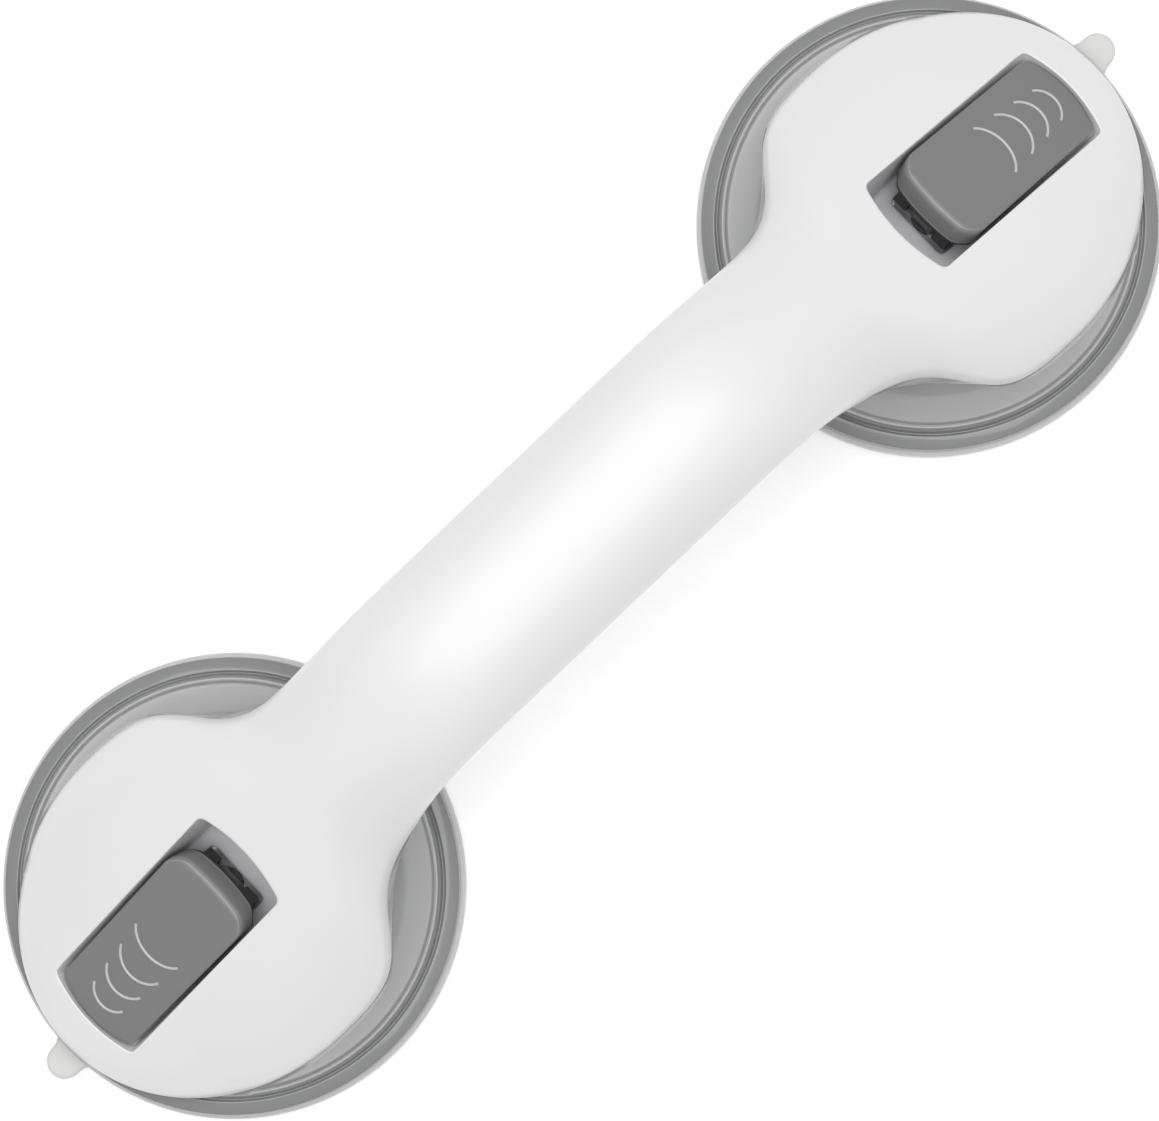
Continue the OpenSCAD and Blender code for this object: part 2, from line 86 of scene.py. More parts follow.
# %% Sizes of the handle
wall = 2.4                  # thickness of the two shells
grip_half = 18.3            # half the width of the grip
grip_z = 60.0               # middle of the grip above the wall plane
finger_room = 45.0          # underside of the grip
pad_half = cup_r - 10.0     # half the width of a pad
pad_reach = cup_r - 1.2     # end of a pad
pad_mid = 3.0               # where the pad starts to round off
round_power = 2.05
flange_r = cup_r - 1.0
flange_z = 3.15
flange_top = 6.95
foot_r = flange_r - 5.1
foot_z = flange_top + 2.2
pad_edge_z = flange_top + 0.6
dome_h = 22.3
part_gap = 0.15

# %% Sizes of the lever and its recess
lever_slope = math.radians(30)
lever_reach, lever_top, lever_half = 41.0, 7.5, 10.8
tip_half, tip_bulge, tip_corner = 10.5, 2.3, 1.6
lever_back, back_bulge, back_corner = 4.8, 1.5, 4.0
recess_half, recess_in, recess_bulge = 11.7, 8.4, 2.0
recess_floor, floor_t = 20.0, 1.6
window_in, window_out, window_half = 4.55, 8.4, 7.8


def lever_place(u, n):
    """A place on the locked lever as (outboard of the cup axis, height)."""
    return (u * math.cos(lever_slope) + n * math.sin(lever_slope),
            pin_z - u * math.sin(lever_slope) + n * math.cos(lever_slope))


tip_d, tip_z = lever_place(lever_reach, lever_top)
recess_end = tip_d + 0.7
print("lever tip at", round(tip_d, 2), round(tip_z, 2))

# %% [markdown]
# ## The shape of the handle
# The handle has no single section: it is a round grip in the middle, swells over
# each shoulder and ends in a sloping pad. Lofting by hand would leave lumps, so
# its width, its top line and its seam are smooth functions of the place along the
# bar, built from S-curves. Any point of the skin can then be asked for directly.

# %% Curves along the bar


def s_curve(t):
    return 1 / (1 + np.exp(-np.asarray(t, float)))


def ease(t):
    c = np.clip(t, 0, 1)
    return c * c * (3 - 2 * c)


def soft_min(a, b, k):
    return -k * np.log(np.exp(-(a - b) / (2 * k)) + np.exp((a - b) / (2 * k))) + (a + b) / 2


def half_width(d, inset=0.0):
    shoulder = 0.7 * s_curve((d + 19.5) / 3.4) + 0.3 * ease(1 + d / 52)
    t = np.clip((d - pad_mid) / (pad_reach - inset - pad_mid), 0, 1)
    end_round = (1 - t ** round_power) ** (1 / round_power)
    return (grip_half - inset + (pad_half - grip_half) * shoulder) * end_round


def dome_z(r):
    inner = foot_z + dome_h * (1 - np.clip(r / foot_r, 0, 1) ** 2.53) ** 0.77
    outer = foot_z - (foot_z - pad_edge_z) * np.clip((r - foot_r) / (pad_reach - foot_r), 0, 1)
    return np.where(r < foot_r, inner, outer)


def seam_z(d):
    e = np.maximum(d, -22.0)
    base = dome_z(np.hypot(e, half_width(e)))
    return base + (grip_z - base) * s_curve((-39 - d) / 6)


def top_z(d, inset=0.0):
    pad = tip_z + 0.7 + math.tan(math.radians(31)) * (tip_d - d)
    return soft_min(grip_top - inset, pad - inset / math.cos(math.radians(31)), 4.0)


def low_z(d, inset=0.0):
    return finger_room + inset - (finger_room - 4) * s_curve((d + foot_r + 3) / 4.5)


def pad_share(d):
    return ease((d + 52) / 52)


print("grip width", 2 * half_width(-axis_x), "pad width", 2 * half_width(3.0))

# %% Points of the upper and the lower skin


def upper_ring(d, count, inset=0.0):
    """A section of the upper skin at one d, from its +Y edge over the top."""
    turn = np.linspace(0, math.pi, count + 1)
    c, s = np.cos(turn), np.clip(np.sin(turn), 0, 1)
    share, z0 = pad_share(d), seam_z(d)
    y = half_width(d, inset) * np.sign(c) * np.abs(c) ** (2 / (2 + 0.2 * share))
    z = z0 + (top_z(d, inset) - z0) * s ** (2 / (2 - 0.2 * share))
    return np.stack([np.full_like(y, d), y, z], 1)


def upper_z(d, y, inset=0.0):
    """Height of the upper skin over a place in plan."""
    share, z0 = pad_share(d), seam_z(d)
    w = np.maximum(half_width(d, inset), 1e-6)
    c = np.clip(np.abs(y) / w, 0, 1) ** ((2 + 0.2 * share) / 2)
    s = np.sqrt(np.clip(1 - c * c, 0, 1))
    return z0 + (top_z(d, inset) - z0) * s ** (2 / (2 - 0.2 * share))


def lower_point(d, turn, inset=0.0):
    """A point of the lower skin: turn 0 is its +Y edge, pi its -Y edge."""
    c, s = np.cos(turn), np.clip(np.sin(turn), 0, 1)
    flat = 2 + 0.6 * pad_share(d)
    z0 = seam_z(d) - part_gap
    y = half_width(d, inset) * np.sign(c) * np.abs(c) ** (2 / flat)
    return np.stack([d, y, z0 - (z0 - low_z(d, inset)) * s ** (2 / flat)], -1)


# %% [markdown]
# ## Turning rings into a mesh
# Everything moulded here is built as rings of points that follow one another: a
# strip of four-sided faces joins each ring to the next. Doubled points are merged,
# normals are made to face outwards, and edges sharper than a set angle stay crisp.

# %% Mesh helpers


def place(points, side=1):
    """Points as (d, y, z) in millimetres, put at one end of the bar, in metres."""
    p = np.asarray(points, float).reshape(-1, 3)
    return np.stack([side * (axis_x + p[:, 0]), p[:, 1], p[:, 2]], 1) * MM


class Skin:
    """Collects points and faces for one piece."""

    def __init__(self):
        self.points, self.faces, self.painted_light = [], [], []

    def add(self, points, painted_light=0.0):
        start = len(self.points)
        self.points.extend(map(tuple, points))
        self.painted_light.extend(np.broadcast_to(painted_light, len(points)).tolist())
        return start

    def rings(self, rings, closed=True, side=1, world=False, painted_light=None):
        rings = [r if world else place(r, side) for r in rings]
        starts = [self.add(r, painted_light[i] if painted_light else 0.0) for i, r in enumerate(rings)]
        n = len(rings[0])
        for a, b in zip(starts, starts[1:]):
            for j in range(n if closed else n - 1):
                k = (j + 1) % n
                self.faces.append((a + j, b + j, b + k, a + k))
        return self

    def solid(self, name, crisp=35, merge=1e-6):
        mesh = bpy.data.meshes.new(name)
        mesh.from_pydata(self.points, [], self.faces)
        if np.any(self.painted_light):
            mesh.attributes.new("painted_light", "FLOAT", "POINT").data.foreach_set("value", self.painted_light)
        finish_mesh(mesh, crisp, merge)
        obj = bpy.data.objects.new(name, mesh)
        bpy.context.collection.objects.link(obj)
        return obj


def finish_mesh(mesh, crisp=35, merge=1e-6):
    bm = bmesh.new()
    bm.from_mesh(mesh)
    bmesh.ops.remove_doubles(bm, verts=bm.verts, dist=merge)
    bmesh.ops.dissolve_degenerate(bm, edges=bm.edges, dist=merge)
    bare = [e for e in bm.edges if not e.link_faces]
    bmesh.ops.delete(bm, geom=bare, context="EDGES")
    bmesh.ops.recalc_face_normals(bm, faces=bm.faces)
    if bm.calc_volume(signed=True) < 0:
        bmesh.ops.reverse_faces(bm, faces=bm.faces)
    bm.to_mesh(mesh)
    bm.free()
    mesh.shade_smooth()
    mesh.set_sharp_from_angle(angle=math.radians(crisp))


def worked_out(obj):
    """A plain mesh of an object, with its modifiers applied."""
    bpy.context.view_layer.update()
    graph = bpy.context.evaluated_depsgraph_get()
    return bpy.data.meshes.new_from_object(obj.evaluated_get(graph))


def report(obj):
    edges = bmesh.new()
    edges.from_mesh(obj.data)
    holes = sum(1 for e in edges.edges if len(e.link_faces) != 2)
    faces = sum(len(f.verts) - 2 for f in edges.faces)
    volume = edges.calc_volume(signed=True)
    edges.free()
    print(obj.name, "triangles", faces, "open edges", holes, "cm3", round(volume * 1e6, 2))


# %% [markdown]
# ## Materials
# Every finish is a small node tree on object coordinates, so its grain has the
# size of the real one in millimetres. Moulded plastic is never quite even: the
# gloss wanders a little, the skin has a faint orange peel, and handled places are
# duller. One builder makes them all, and each finish only sets its own numbers.

# %% Node helpers


def wire(tree, kind, at=(0, 0), **inputs):
    node = tree.nodes.new(kind)
    node.location = at
    for key, value in inputs.items():
        socket = node.inputs[int(key[1:])] if key[0] == "_" and key[1:].isdigit() else \
            node.inputs[key.replace("_", " ")]
        if isinstance(value, bpy.types.NodeSocket):
            tree.links.new(value, socket)
        else:
            socket.default_value = value
    return node


def moulded(name, colour, roughness, grain=0.6, peel=0.02, mottle=0.03, gloss_drift=0.05,
            coat=0.0, soft=0.0, metal=0.0, stretch=(1, 1, 1), painted_light=None, edge=None, level=0.5):
    """A finish with drifting colour and gloss and a fine relief. Lengths in mm."""
    mat = bpy.data.materials.new(name)
    mat.use_nodes = True
    tree = mat.node_tree
    tree.nodes.clear()
    out = wire(tree, "ShaderNodeOutputMaterial", (900, 0))
    shader = wire(tree, "ShaderNodeBsdfPrincipled", (600, 0), Metallic=metal)
    coords = wire(tree, "ShaderNodeTexCoord", (-900, 0)).outputs["Object"]
    laid = wire(tree, "ShaderNodeMapping", (-700, 0), Vector=coords, Scale=stretch).outputs[0]
    cloud = wire(tree, "ShaderNodeTexNoise", (-450, 200), Vector=laid, Scale=28.0, Detail=3.0)
    fine = wire(tree, "ShaderNodeTexNoise", (-450, -150), Vector=laid, Scale=1000 / grain, Detail=2.0)
    dark = [c * (1 - mottle) for c in colour] + [1]
    pale = [min(1, c * (1 + mottle)) for c in colour] + [1]
    tint = wire(tree, "ShaderNodeMix", (-150, 250))
    tint.data_type = "RGBA"
    tree.links.new(cloud.outputs["Fac"], tint.inputs["Factor"])
    tint.inputs[6].default_value, tint.inputs[7].default_value = dark, pale
    drift = wire(tree, "ShaderNodeMapRange", (-150, 0), Value=cloud.outputs["Fac"],
                 To_Min=max(0.02, roughness - gloss_drift), To_Max=roughness + gloss_drift)
    colour_out, rough_out = tint.outputs[2], drift.outputs[0]
    # Painted light: a mesh attribute blends in a second, darker colour as painted shade; with edge, its
    # middle values give a paler painted highlight. The same attribute also makes the finish duller.
    if painted_light:
        inside = wire(tree, "ShaderNodeAttribute", (-150, 450))
        inside.attribute_name = "painted_light"
        shade = wire(tree, "ShaderNodeMix", (150, 250))
        shade.data_type = "RGBA"
        tree.links.new(colour_out, shade.inputs[6])
        if edge:
            painted_tones = wire(tree, "ShaderNodeValToRGB", (150, 450), Fac=inside.outputs["Fac"])
            ramp = painted_tones.color_ramp.elements
            ramp[0].color, ramp[1].color = [*colour, 1], [*painted_light, 1]
            for spot, tone in ((0.3, colour), (0.5, edge), (0.7, painted_light)):
                ramp.new(spot).color = [*tone, 1]
            tree.links.new(painted_tones.outputs[0], shade.inputs[7])
            shade.inputs[0].default_value = 0.9
        else:
            tree.links.new(inside.outputs["Fac"], shade.inputs["Factor"])
            shade.inputs[7].default_value = [*painted_light, 1]
        dull = wire(tree, "ShaderNodeMath", (150, 0), _0=inside.outputs["Fac"], _1=0.25, _2=rough_out)
        dull.operation = "MULTIPLY_ADD"
        colour_out, rough_out = shade.outputs[2], dull.outputs[0]
    tree.links.new(colour_out, shader.inputs["Base Color"])
    tree.links.new(rough_out, shader.inputs["Roughness"])
    bump = wire(tree, "ShaderNodeBump", (300, -200), Strength=0.5, Distance=peel * MM,
                Height=fine.outputs["Fac"])
    tree.links.new(bump.outputs[0], shader.inputs["Normal"])
    shader.inputs["Coat Weight"].default_value = coat
    shader.inputs["Specular IOR Level"].default_value = level
    shader.inputs["Coat Roughness"].default_value = 0.08
    shader.inputs["Subsurface Weight"].default_value = soft
    shader.inputs["Subsurface Radius"].default_value = (1, 1, 1)
    shader.inputs["Subsurface Scale"].default_value = 2 * MM
    tree.links.new(shader.outputs[0], out.inputs[0])
    return mat


# %% The finishes of the bar
# The darker second colour of white_abs is painted shade in the lever tub.
white_abs = moulded("white_abs", (0.78, 0.78, 0.785), 0.3, grain=1.4, peel=0.012, mottle=0.008,
                    gloss_drift=0.04, coat=0.1, level=0.38, painted_light=(0.66, 0.66, 0.685))
# The darker second colour of grey_abs is painted shade on the flange, and its pale tone is a painted
# highlight on the step of the flange.
grey_abs = moulded("grey_abs", (0.31, 0.312, 0.315), 0.14, grain=1.2, peel=0.012, mottle=0.02,
                   gloss_drift=0.04, coat=0.8, painted_light=(0.215, 0.217, 0.22), edge=(0.6, 0.6, 0.6))
# The near-black second colour of lever_abs is painted shade on the underside and the cam cheeks, and its
# pale tone is a painted highlight along the rolled edge.
lever_abs = moulded("lever_abs", (0.205, 0.205, 0.207), 0.34, grain=0.5, peel=0.035, mottle=0.03,
                    gloss_drift=0.05, painted_light=(0.02, 0.02, 0.021), edge=(0.42, 0.42, 0.42))
# The ridges are the lever's plastic painted a lighter grey: a painted highlight.
ridge_painted_highlight = moulded("ridge_painted_highlight", (0.52, 0.52, 0.52), 0.3, grain=0.5, peel=0.02, mottle=0.02)
cup_rubber = moulded("cup_rubber", (0.6, 0.6, 0.585), 0.32, grain=0.8, peel=0.03, mottle=0.02,
                     soft=0.35)
# The studs and the wear plates are painted near black as painted shade in the slot beside each lever.
stud_nylon = moulded("stud_nylon", (0.035, 0.035, 0.037), 0.45, grain=0.4, peel=0.04, mottle=0.15)
plate_black = moulded("plate_black", (0.012, 0.012, 0.013), 0.35, grain=0.4, peel=0.03, mottle=0.2)
steel = moulded("steel", (0.55, 0.55, 0.56), 0.26, grain=0.25, peel=0.02, mottle=0.05, metal=1.0,
                stretch=(1, 1, 8))
print("finishes", [m.name for m in bpy.data.materials if m.use_nodes][:12])

# %% [markdown]
# ## Curves in plan round a lever recess
# The pad, the recess and the window in its floor are closed curves round one
# place near the cup axis. Written as a radius for each direction, any of them can
# be met by the same fan of rays, so one set of rings runs from the edge of the pad
# down into the recess and out again under the floor, with no loose corners.

# %% Outlines as radius by direction
hub = np.array([4.0, 0.0])


def bulged_end(reach, bulge, half, corner, steps=40):
    """An end that bulges in the middle and has rounded corners, -half to half."""
    y = half * np.sin(np.linspace(-math.pi / 2, math.pi / 2, 2 * steps + 1))
    s = np.clip((np.abs(y) - half + corner) / corner, 0, 1)
    return np.stack([reach - bulge * (y / half) ** 2 - corner * (1 - np.sqrt(1 - s * s)), y], 1)


def between(a, b, steps=60):
    t = np.linspace(0, 1, steps + 2)[1:-1, None]
    return a * (1 - t) + b * t


def loop_of(far, near):
    """A closed outline from its far end (-y to y) and its near end (y to -y)."""
    return np.concatenate([far, between(far[-1], near[0]), near, between(near[-1], far[0])])


def recess_loop(margin):
    half = recess_half + margin
    bulge = tip_bulge * math.cos(lever_slope)
    far = bulged_end(recess_end + margin, bulge, half, max(0.4, 1.0 + margin))
    near = bulged_end(recess_in + recess_bulge + margin, recess_bulge, half, max(0.4, 1.0 + margin))
    return loop_of(far, -near)


def window_loop(margin):
    far = bulged_end(window_out + margin, 0, window_half + margin, 0.5 + margin)
    near = bulged_end(window_in + margin, 0, window_half + margin, 1.1 + margin)
    return loop_of(far, -near)


def reach_of(loop, rays):
    """How far each ray from the hub runs to an outline."""
    p = loop - hub
    angle = np.arctan2(p[:, 1], p[:, 0])
    order = np.argsort(angle)
    angle, radius = angle[order], np.hypot(p[:, 0], p[:, 1])[order]
    flat = np.concatenate([angle - 2 * math.pi, angle, angle + 2 * math.pi])
    return np.interp(rays, flat, np.tile(radius, 3))


# %% The edge of the pad, met by the section of the shoulder
arch_count, edge_count, shoulder_d = 72, 190, -16.0


def pad_edge(inset):
    """Half the outline of a pad from the shoulder round its end, evenly spaced."""
    bend = pad_mid + (pad_reach - inset - pad_mid) * np.sin(np.linspace(0, math.pi / 2, 400))
    d = np.concatenate([np.linspace(shoulder_d, pad_mid, 200)[:-1], bend])
    y = half_width(d, inset)
    y[-1] = 0
    run = np.concatenate([[0], np.cumsum(np.hypot(np.diff(d), np.diff(y)))])
    even = np.linspace(0, run[-1], edge_count // 2 + 1)
    half = np.stack([np.interp(even, run, d), np.interp(even, run, y)], 1)
    return np.concatenate([half * [1, -1], half[-2:0:-1]])


def edge_ring(inset):
    """The whole edge of the upper shell's end: the shoulder section, then the pad."""
    arch = upper_ring(shoulder_d, arch_count, inset)
    pad = pad_edge(inset)
    return np.concatenate([arch, np.column_stack([pad, seam_z(pad[:, 0])])[1:]])


outer_edge, inner_edge = edge_ring(0.0), edge_ring(wall)
rays = np.arctan2(outer_edge[:, 1] - hub[1], outer_edge[:, 0] - hub[0])
on_seam = np.arange(len(outer_edge)) >= arch_count
print("points round a pad", len(outer_edge))

# %% [markdown]
# ## The upper shell
# The upper shell is one white moulding: grip, shoulders and two sloping pads, each
# with a tub for the lever. Its rings start at the seam, climb over the pad, roll
# over the lip of the tub, run down its wall and across its floor, drop through the
# window, and come back underneath as the inner skin, so the shell has a true wall.

# %% Rings of a pad and its lever recess
lip, draft, fillet, sill = 0.45, 0.9, 1.1, 0.3
recess_end_z = float(seam_z(recess_end)) - part_gap + floor_t
floor_fall = (recess_floor - recess_end_z) / (recess_end - 11.0)


def floor_z(d):
    return recess_floor - floor_fall * np.maximum(d - 11.0, 0)


def ray_points(radius):
    return hub + radius[:, None] * np.stack([np.cos(rays), np.sin(rays)], 1)


def raised(plan, z):
    return np.column_stack([plan, np.broadcast_to(z, len(plan))])


def pad_skin():
    rings = [outer_edge]
    rim = np.hypot(*(outer_edge[:, :2] - hub).T)
    lip_at = reach_of(recess_loop(lip), rays)
    for t in np.linspace(1, 0, 29)[1:]:
        share = math.sin(math.pi / 2 * t) if t > 0.5 else math.sin(math.pi / 4) * 2 * t
        plan = ray_points(lip_at + (rim - lip_at) * share)
        z = upper_z(plan[:, 0], plan[:, 1])
        near = np.clip((rim - lip_at) * (1 - share) / 1.2, 0, 1)
        rolled = np.sqrt(1 - (1 - near) ** 2)
        far_end = ease((plan[:, 0] - 22) / 14) * on_seam
        z0 = seam_z(plan[:, 0])
        rings.append(raised(plan, z0 + (z - z0) * (1 + far_end * (rolled - 1))))
    for turn in np.linspace(0, math.pi / 2, 6)[1:]:
        plan = ray_points(reach_of(recess_loop(lip * (1 - math.sin(turn))), rays))
        rings.append(raised(plan, upper_z(*plan.T) - lip * (1 - math.cos(turn))))
    brim = rings[-1]
    bottom = ray_points(reach_of(recess_loop(-draft), rays))
    for t in np.linspace(0, 1, 9)[1:]:
        plan = brim[:, :2] * (1 - t) + bottom * t
        foot = floor_z(plan[:, 0]) + fillet
        rings.append(raised(plan, brim[:, 2] * (1 - t) + foot * t))
    for turn in np.linspace(0, math.pi / 2, 6)[1:]:
        plan = ray_points(reach_of(recess_loop(-draft - fillet * (1 - math.cos(turn))), rays))
        rings.append(raised(plan, floor_z(plan[:, 0]) + fillet * (1 - math.sin(turn))))
    return rings


def floor_skin(start):
    """The floor from its fillet to the window, through it, and back underneath."""
    rings = []
    sill_at = ray_points(reach_of(window_loop(sill), rays))
    for t in np.linspace(0, 1, 11)[1:]:
        plan = start[:, :2] * (1 - t) + sill_at * t
        rings.append(raised(plan, floor_z(plan[:, 0])))
    for turn in np.linspace(0, math.pi / 2, 4)[1:]:
        plan = ray_points(reach_of(window_loop(sill * (1 - math.sin(turn))), rays))
        rings.append(raised(plan, floor_z(plan[:, 0]) - sill * (1 - math.cos(turn))))
    plan = ray_points(reach_of(window_loop(0), rays))
    rings.append(raised(plan, floor_z(plan[:, 0]) - floor_t))
    tub = ray_points(reach_of(recess_loop(floor_t), rays))
    for t in (0.33, 0.66, 1.0):
        way = plan * (1 - t) + tub * t
        rings.append(raised(way, floor_z(way[:, 0]) - floor_t))
    roof = upper_z(tub[:, 0], tub[:, 1], wall)
    low = floor_z(tub[:, 0]) - floor_t
    rings.append(raised(tub, np.maximum(low + (roof - low) * 0.5, low + 0.02)))
    for t in np.linspace(0, 1, 13):
        way = tub * (1 - math.sin(math.pi / 2 * t)) + inner_edge[:, :2] * math.sin(math.pi / 2 * t)
        rings.append(raised(way, upper_z(way[:, 0], way[:, 1], wall)) if t < 1 else inner_edge)
    return rings


# %% Build the upper shell
bar_d = np.concatenate([np.linspace(-axis_x, -70, 10)[:-1], np.linspace(-70, shoulder_d, 50)])


def shell_section(d):
    return np.concatenate([upper_ring(d, arch_count), upper_ring(d, arch_count, wall)[::-1]])


upper = Skin()
for side in (1, -1):
    upper.rings([shell_section(d) for d in bar_d], side=side)
    pad = pad_skin()
    rings = pad + floor_skin(pad[-1])
    # Painted shade: the wall and floor rings of the tub get a mask that rises down the wall and fades
    # towards the outer end, so the tub is painted darker towards its inner end.
    depth = [np.clip((i - 34) / 8, 0, 1) * float(34 < i < 62) for i in range(len(rings))]
    shade = [part * np.clip(1 - (ring[:, 0] - 2) / 14, 0.12, 1) for part, ring in zip(depth, rings)]
    upper.rings(rings, side=side, painted_light=shade)
    seam_run = list(range(arch_count, len(outer_edge))) + [0]
    upper.rings([inner_edge[seam_run], outer_edge[seam_run]], closed=False, side=side)
upper_shell = upper.solid("upper_shell", crisp=40)
report(upper_shell)

# %% [markdown]
# The tub is not polished like the pad: its walls and floor are left from the tool,
# and are duller. They are also painted a shade darker towards the inner end, as
# painted shade. The rings carry that as an attribute, and the finish blends by it.

# %% Dress the upper shell
upper_shell.data.materials.append(white_abs)
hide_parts("top_shell")
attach(upper_shell, "handle")

# %% [markdown]
# ## The lower shell
# The lower shell is a long trough whose legs end on the domes. Each line along
# its skin is followed until it meets the dome, so the end of every leg is cut to
# the dome exactly, and no boolean has to chew through a curved face.

# %% Follow each line of the skin down to the dome
lower_count, lower_steps = 64, 70


def on_dome(point):
    r = math.hypot(point[0], point[1])
    if r > flange_r + part_gap:
        return False
    return point[2] < float(dome_z(np.array(r))) + part_gap


def leg_end(turn, inset):
    """The place along the bar where one line of the lower skin meets the dome."""
    d = -60.0
    while d < -8 and not on_dome(lower_point(np.array(d), turn, inset)):
        d += 0.25
    low, high = d - 0.25, d
    for _ in range(14):
        mid = (low + high) / 2
        low, high = (low, mid) if on_dome(lower_point(np.array(mid), turn, inset)) else (mid, high)
    return high


lower_turns = np.linspace(0, math.pi, lower_count + 1)
outer_end = np.array([leg_end(t, 0.0) for t in lower_turns])
inner_end = np.array([leg_end(t, wall) for t in lower_turns])
print("legs end between", outer_end.min().round(2), outer_end.max().round(2))

# %% Build the lower shell


def lower_section(share):
    outer = lower_point(-axis_x + share * (outer_end + axis_x), lower_turns)
    inner = lower_point(-axis_x + share * (inner_end + axis_x), lower_turns, wall)
    inner[[0, -1], 2] = outer[[0, -1], 2]
    return np.concatenate([outer, inner[::-1]])


lower = Skin()
for side in (1, -1):
    steps = np.linspace(0, 1, lower_steps + 1) ** 0.8
    lower.rings([lower_section(s) for s in steps], side=side)
    last = lower_section(1.0)
    n = lower_count + 1
    lower.rings([last[:n], last[:n - 1:-1]], closed=False, side=side)
lower_shell = lower.solid("lower_shell", crisp=40)
report(lower_shell)

# %% [markdown]
# Four screws hold the shells together from below, each at the bottom of a round
# bore. The bores are drilled with a boolean, and a collar lines each one.

# %% Drill the screw bores
screw_places = [-44.0, -20.0, 20.0, 44.0]
bore_r, bore_depth = 3.1, 4.0


def lathe(profile, centre=(0, 0), count=48):
    """Rings of a profile (radius, height in mm) turned about a vertical axis."""
    turn = np.linspace(0, 2 * math.pi, count, endpoint=False)
    return [np.stack([centre[0] + r * np.cos(turn), centre[1] + r * np.sin(turn),
                      np.full(count, z)], 1) * MM for r, z in profile]


def collar_profile(z):
    return [(bore_r, z + 0.5), (bore_r, z + bore_depth), (1.65, z + bore_depth),
            (1.65, z + bore_depth + 1.6), (5.0, z + bore_depth + 1.6), (5.0, z + 1.6),
            (bore_r + 0.6, z + 0.7), (bore_r, z + 0.5)]


drill = Skin()
collars = Skin()
for x in screw_places:
    base = float(low_z(abs(x) - axis_x))
    drill.rings(lathe([(0.0, base - 3), (bore_r, base - 3), (bore_r, base + 3.4), (0.0, base + 3.4)],
                      (x, 0)), world=True)
    collars.rings(lathe(collar_profile(base), (x, 0)), world=True)
drill_obj = drill.solid("drill", merge=1e-5)
cut = lower_shell.modifiers.new("bores", "BOOLEAN")
cut.operation, cut.object, cut.solver = "DIFFERENCE", drill_obj, "MANIFOLD"
drilled = worked_out(lower_shell)
lower_shell.modifiers.clear()
lower_shell.data = drilled
finish_mesh(drilled, 40)
bpy.data.objects.remove(drill_obj)
collar = collars.solid("bore_collars")
report(lower_shell)
report(collar)

# %% Dress the lower shell
for piece in (lower_shell, collar):
    piece.data.materials.clear()
    piece.data.materials.append(white_abs)
    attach(piece, "handle")
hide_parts("bottom_shell")

# %% [markdown]
# ## The cup housings
# Each housing is a turned shape, a dome on a stepped flange, except that its top
# is cut to the seam under the pad. A lathe profile is therefore stopped, column by
# column, where it meets the seam, then led inwards as a deck to the boss.

# %% Profile of the flange and the dome
housing_columns = 224
deck_gap = 1.0               # the shadow line between a pad and its housing


def arc_points(centre, radius, start, end, steps=6):
    turn = np.radians(np.linspace(start, end, steps))
    return [(centre[0] + radius * math.cos(t), centre[1] + radius * math.sin(t)) for t in turn]


flange_profile = (
    [(flange_r - 1.2, flange_z)] + arc_points((flange_r - 0.5, flange_z + 0.5), 0.5, -90, 0)
    + arc_points((flange_r - 0.7, flange_z + 2.6), 0.7, 0, 62)
    + arc_points((flange_r - 2.7, flange_top - 0.35), 0.35, 62, 150)
    + arc_points((flange_r - 3.35, flange_top - 0.45), 0.15, -30, -150, 4)
    + arc_points((flange_r - 4.15, flange_top + 0.3), 0.35, 0, 70)
    + [(foot_r + 0.45, foot_z - 0.55), (foot_r + 0.15, foot_z - 0.3)])
dome_turns = np.linspace(0, math.pi / 2, 60)
dome_profile = [(foot_r * math.cos(t) ** 0.8, float(dome_z(np.array(foot_r * math.cos(t) ** 0.8))))
                for t in dome_turns[:-1]]
full_profile = np.array(flange_profile + dome_profile)
run = np.concatenate([[0], np.cumsum(np.hypot(*np.diff(full_profile, axis=0).T))])
flange_run = run[len(flange_profile)]
print("flange points", len(flange_profile), "dome foot at", round(float(flange_run), 2))

# %% Stop each column at the seam


def profile_at(s):
    return np.interp(s, run, full_profile[:, 0]), np.interp(s, run, full_profile[:, 1])


def column_end(turn):
    fine = np.linspace(run[4], run[-1], 1400)
    r, z = profile_at(fine)
    over = z > seam_z(r * math.cos(turn)) - deck_gap
    return fine[np.argmax(over)] if over.any() else run[-1]


column_turns = np.linspace(0, 2 * math.pi, housing_columns, endpoint=False)
column_ends = np.array([column_end(t) for t in column_turns])
print("columns stop between", column_ends.min().round(1), column_ends.max().round(1))

# %% Rings of a housing
boss_r, boss_top, boss_low, stud_hole = 10.8, 18.25, 10.9, 4.28
housing_wall = 2.2
bed_low, bed_high, bed_bevel = (-3.4, -7.2, boss_top - 1), (8.0, 7.2, 19.2), 0.25


def column_ring(r, z):
    return np.stack([r * np.cos(column_turns), r * np.sin(column_turns),
                     np.broadcast_to(z, housing_columns)], 1)


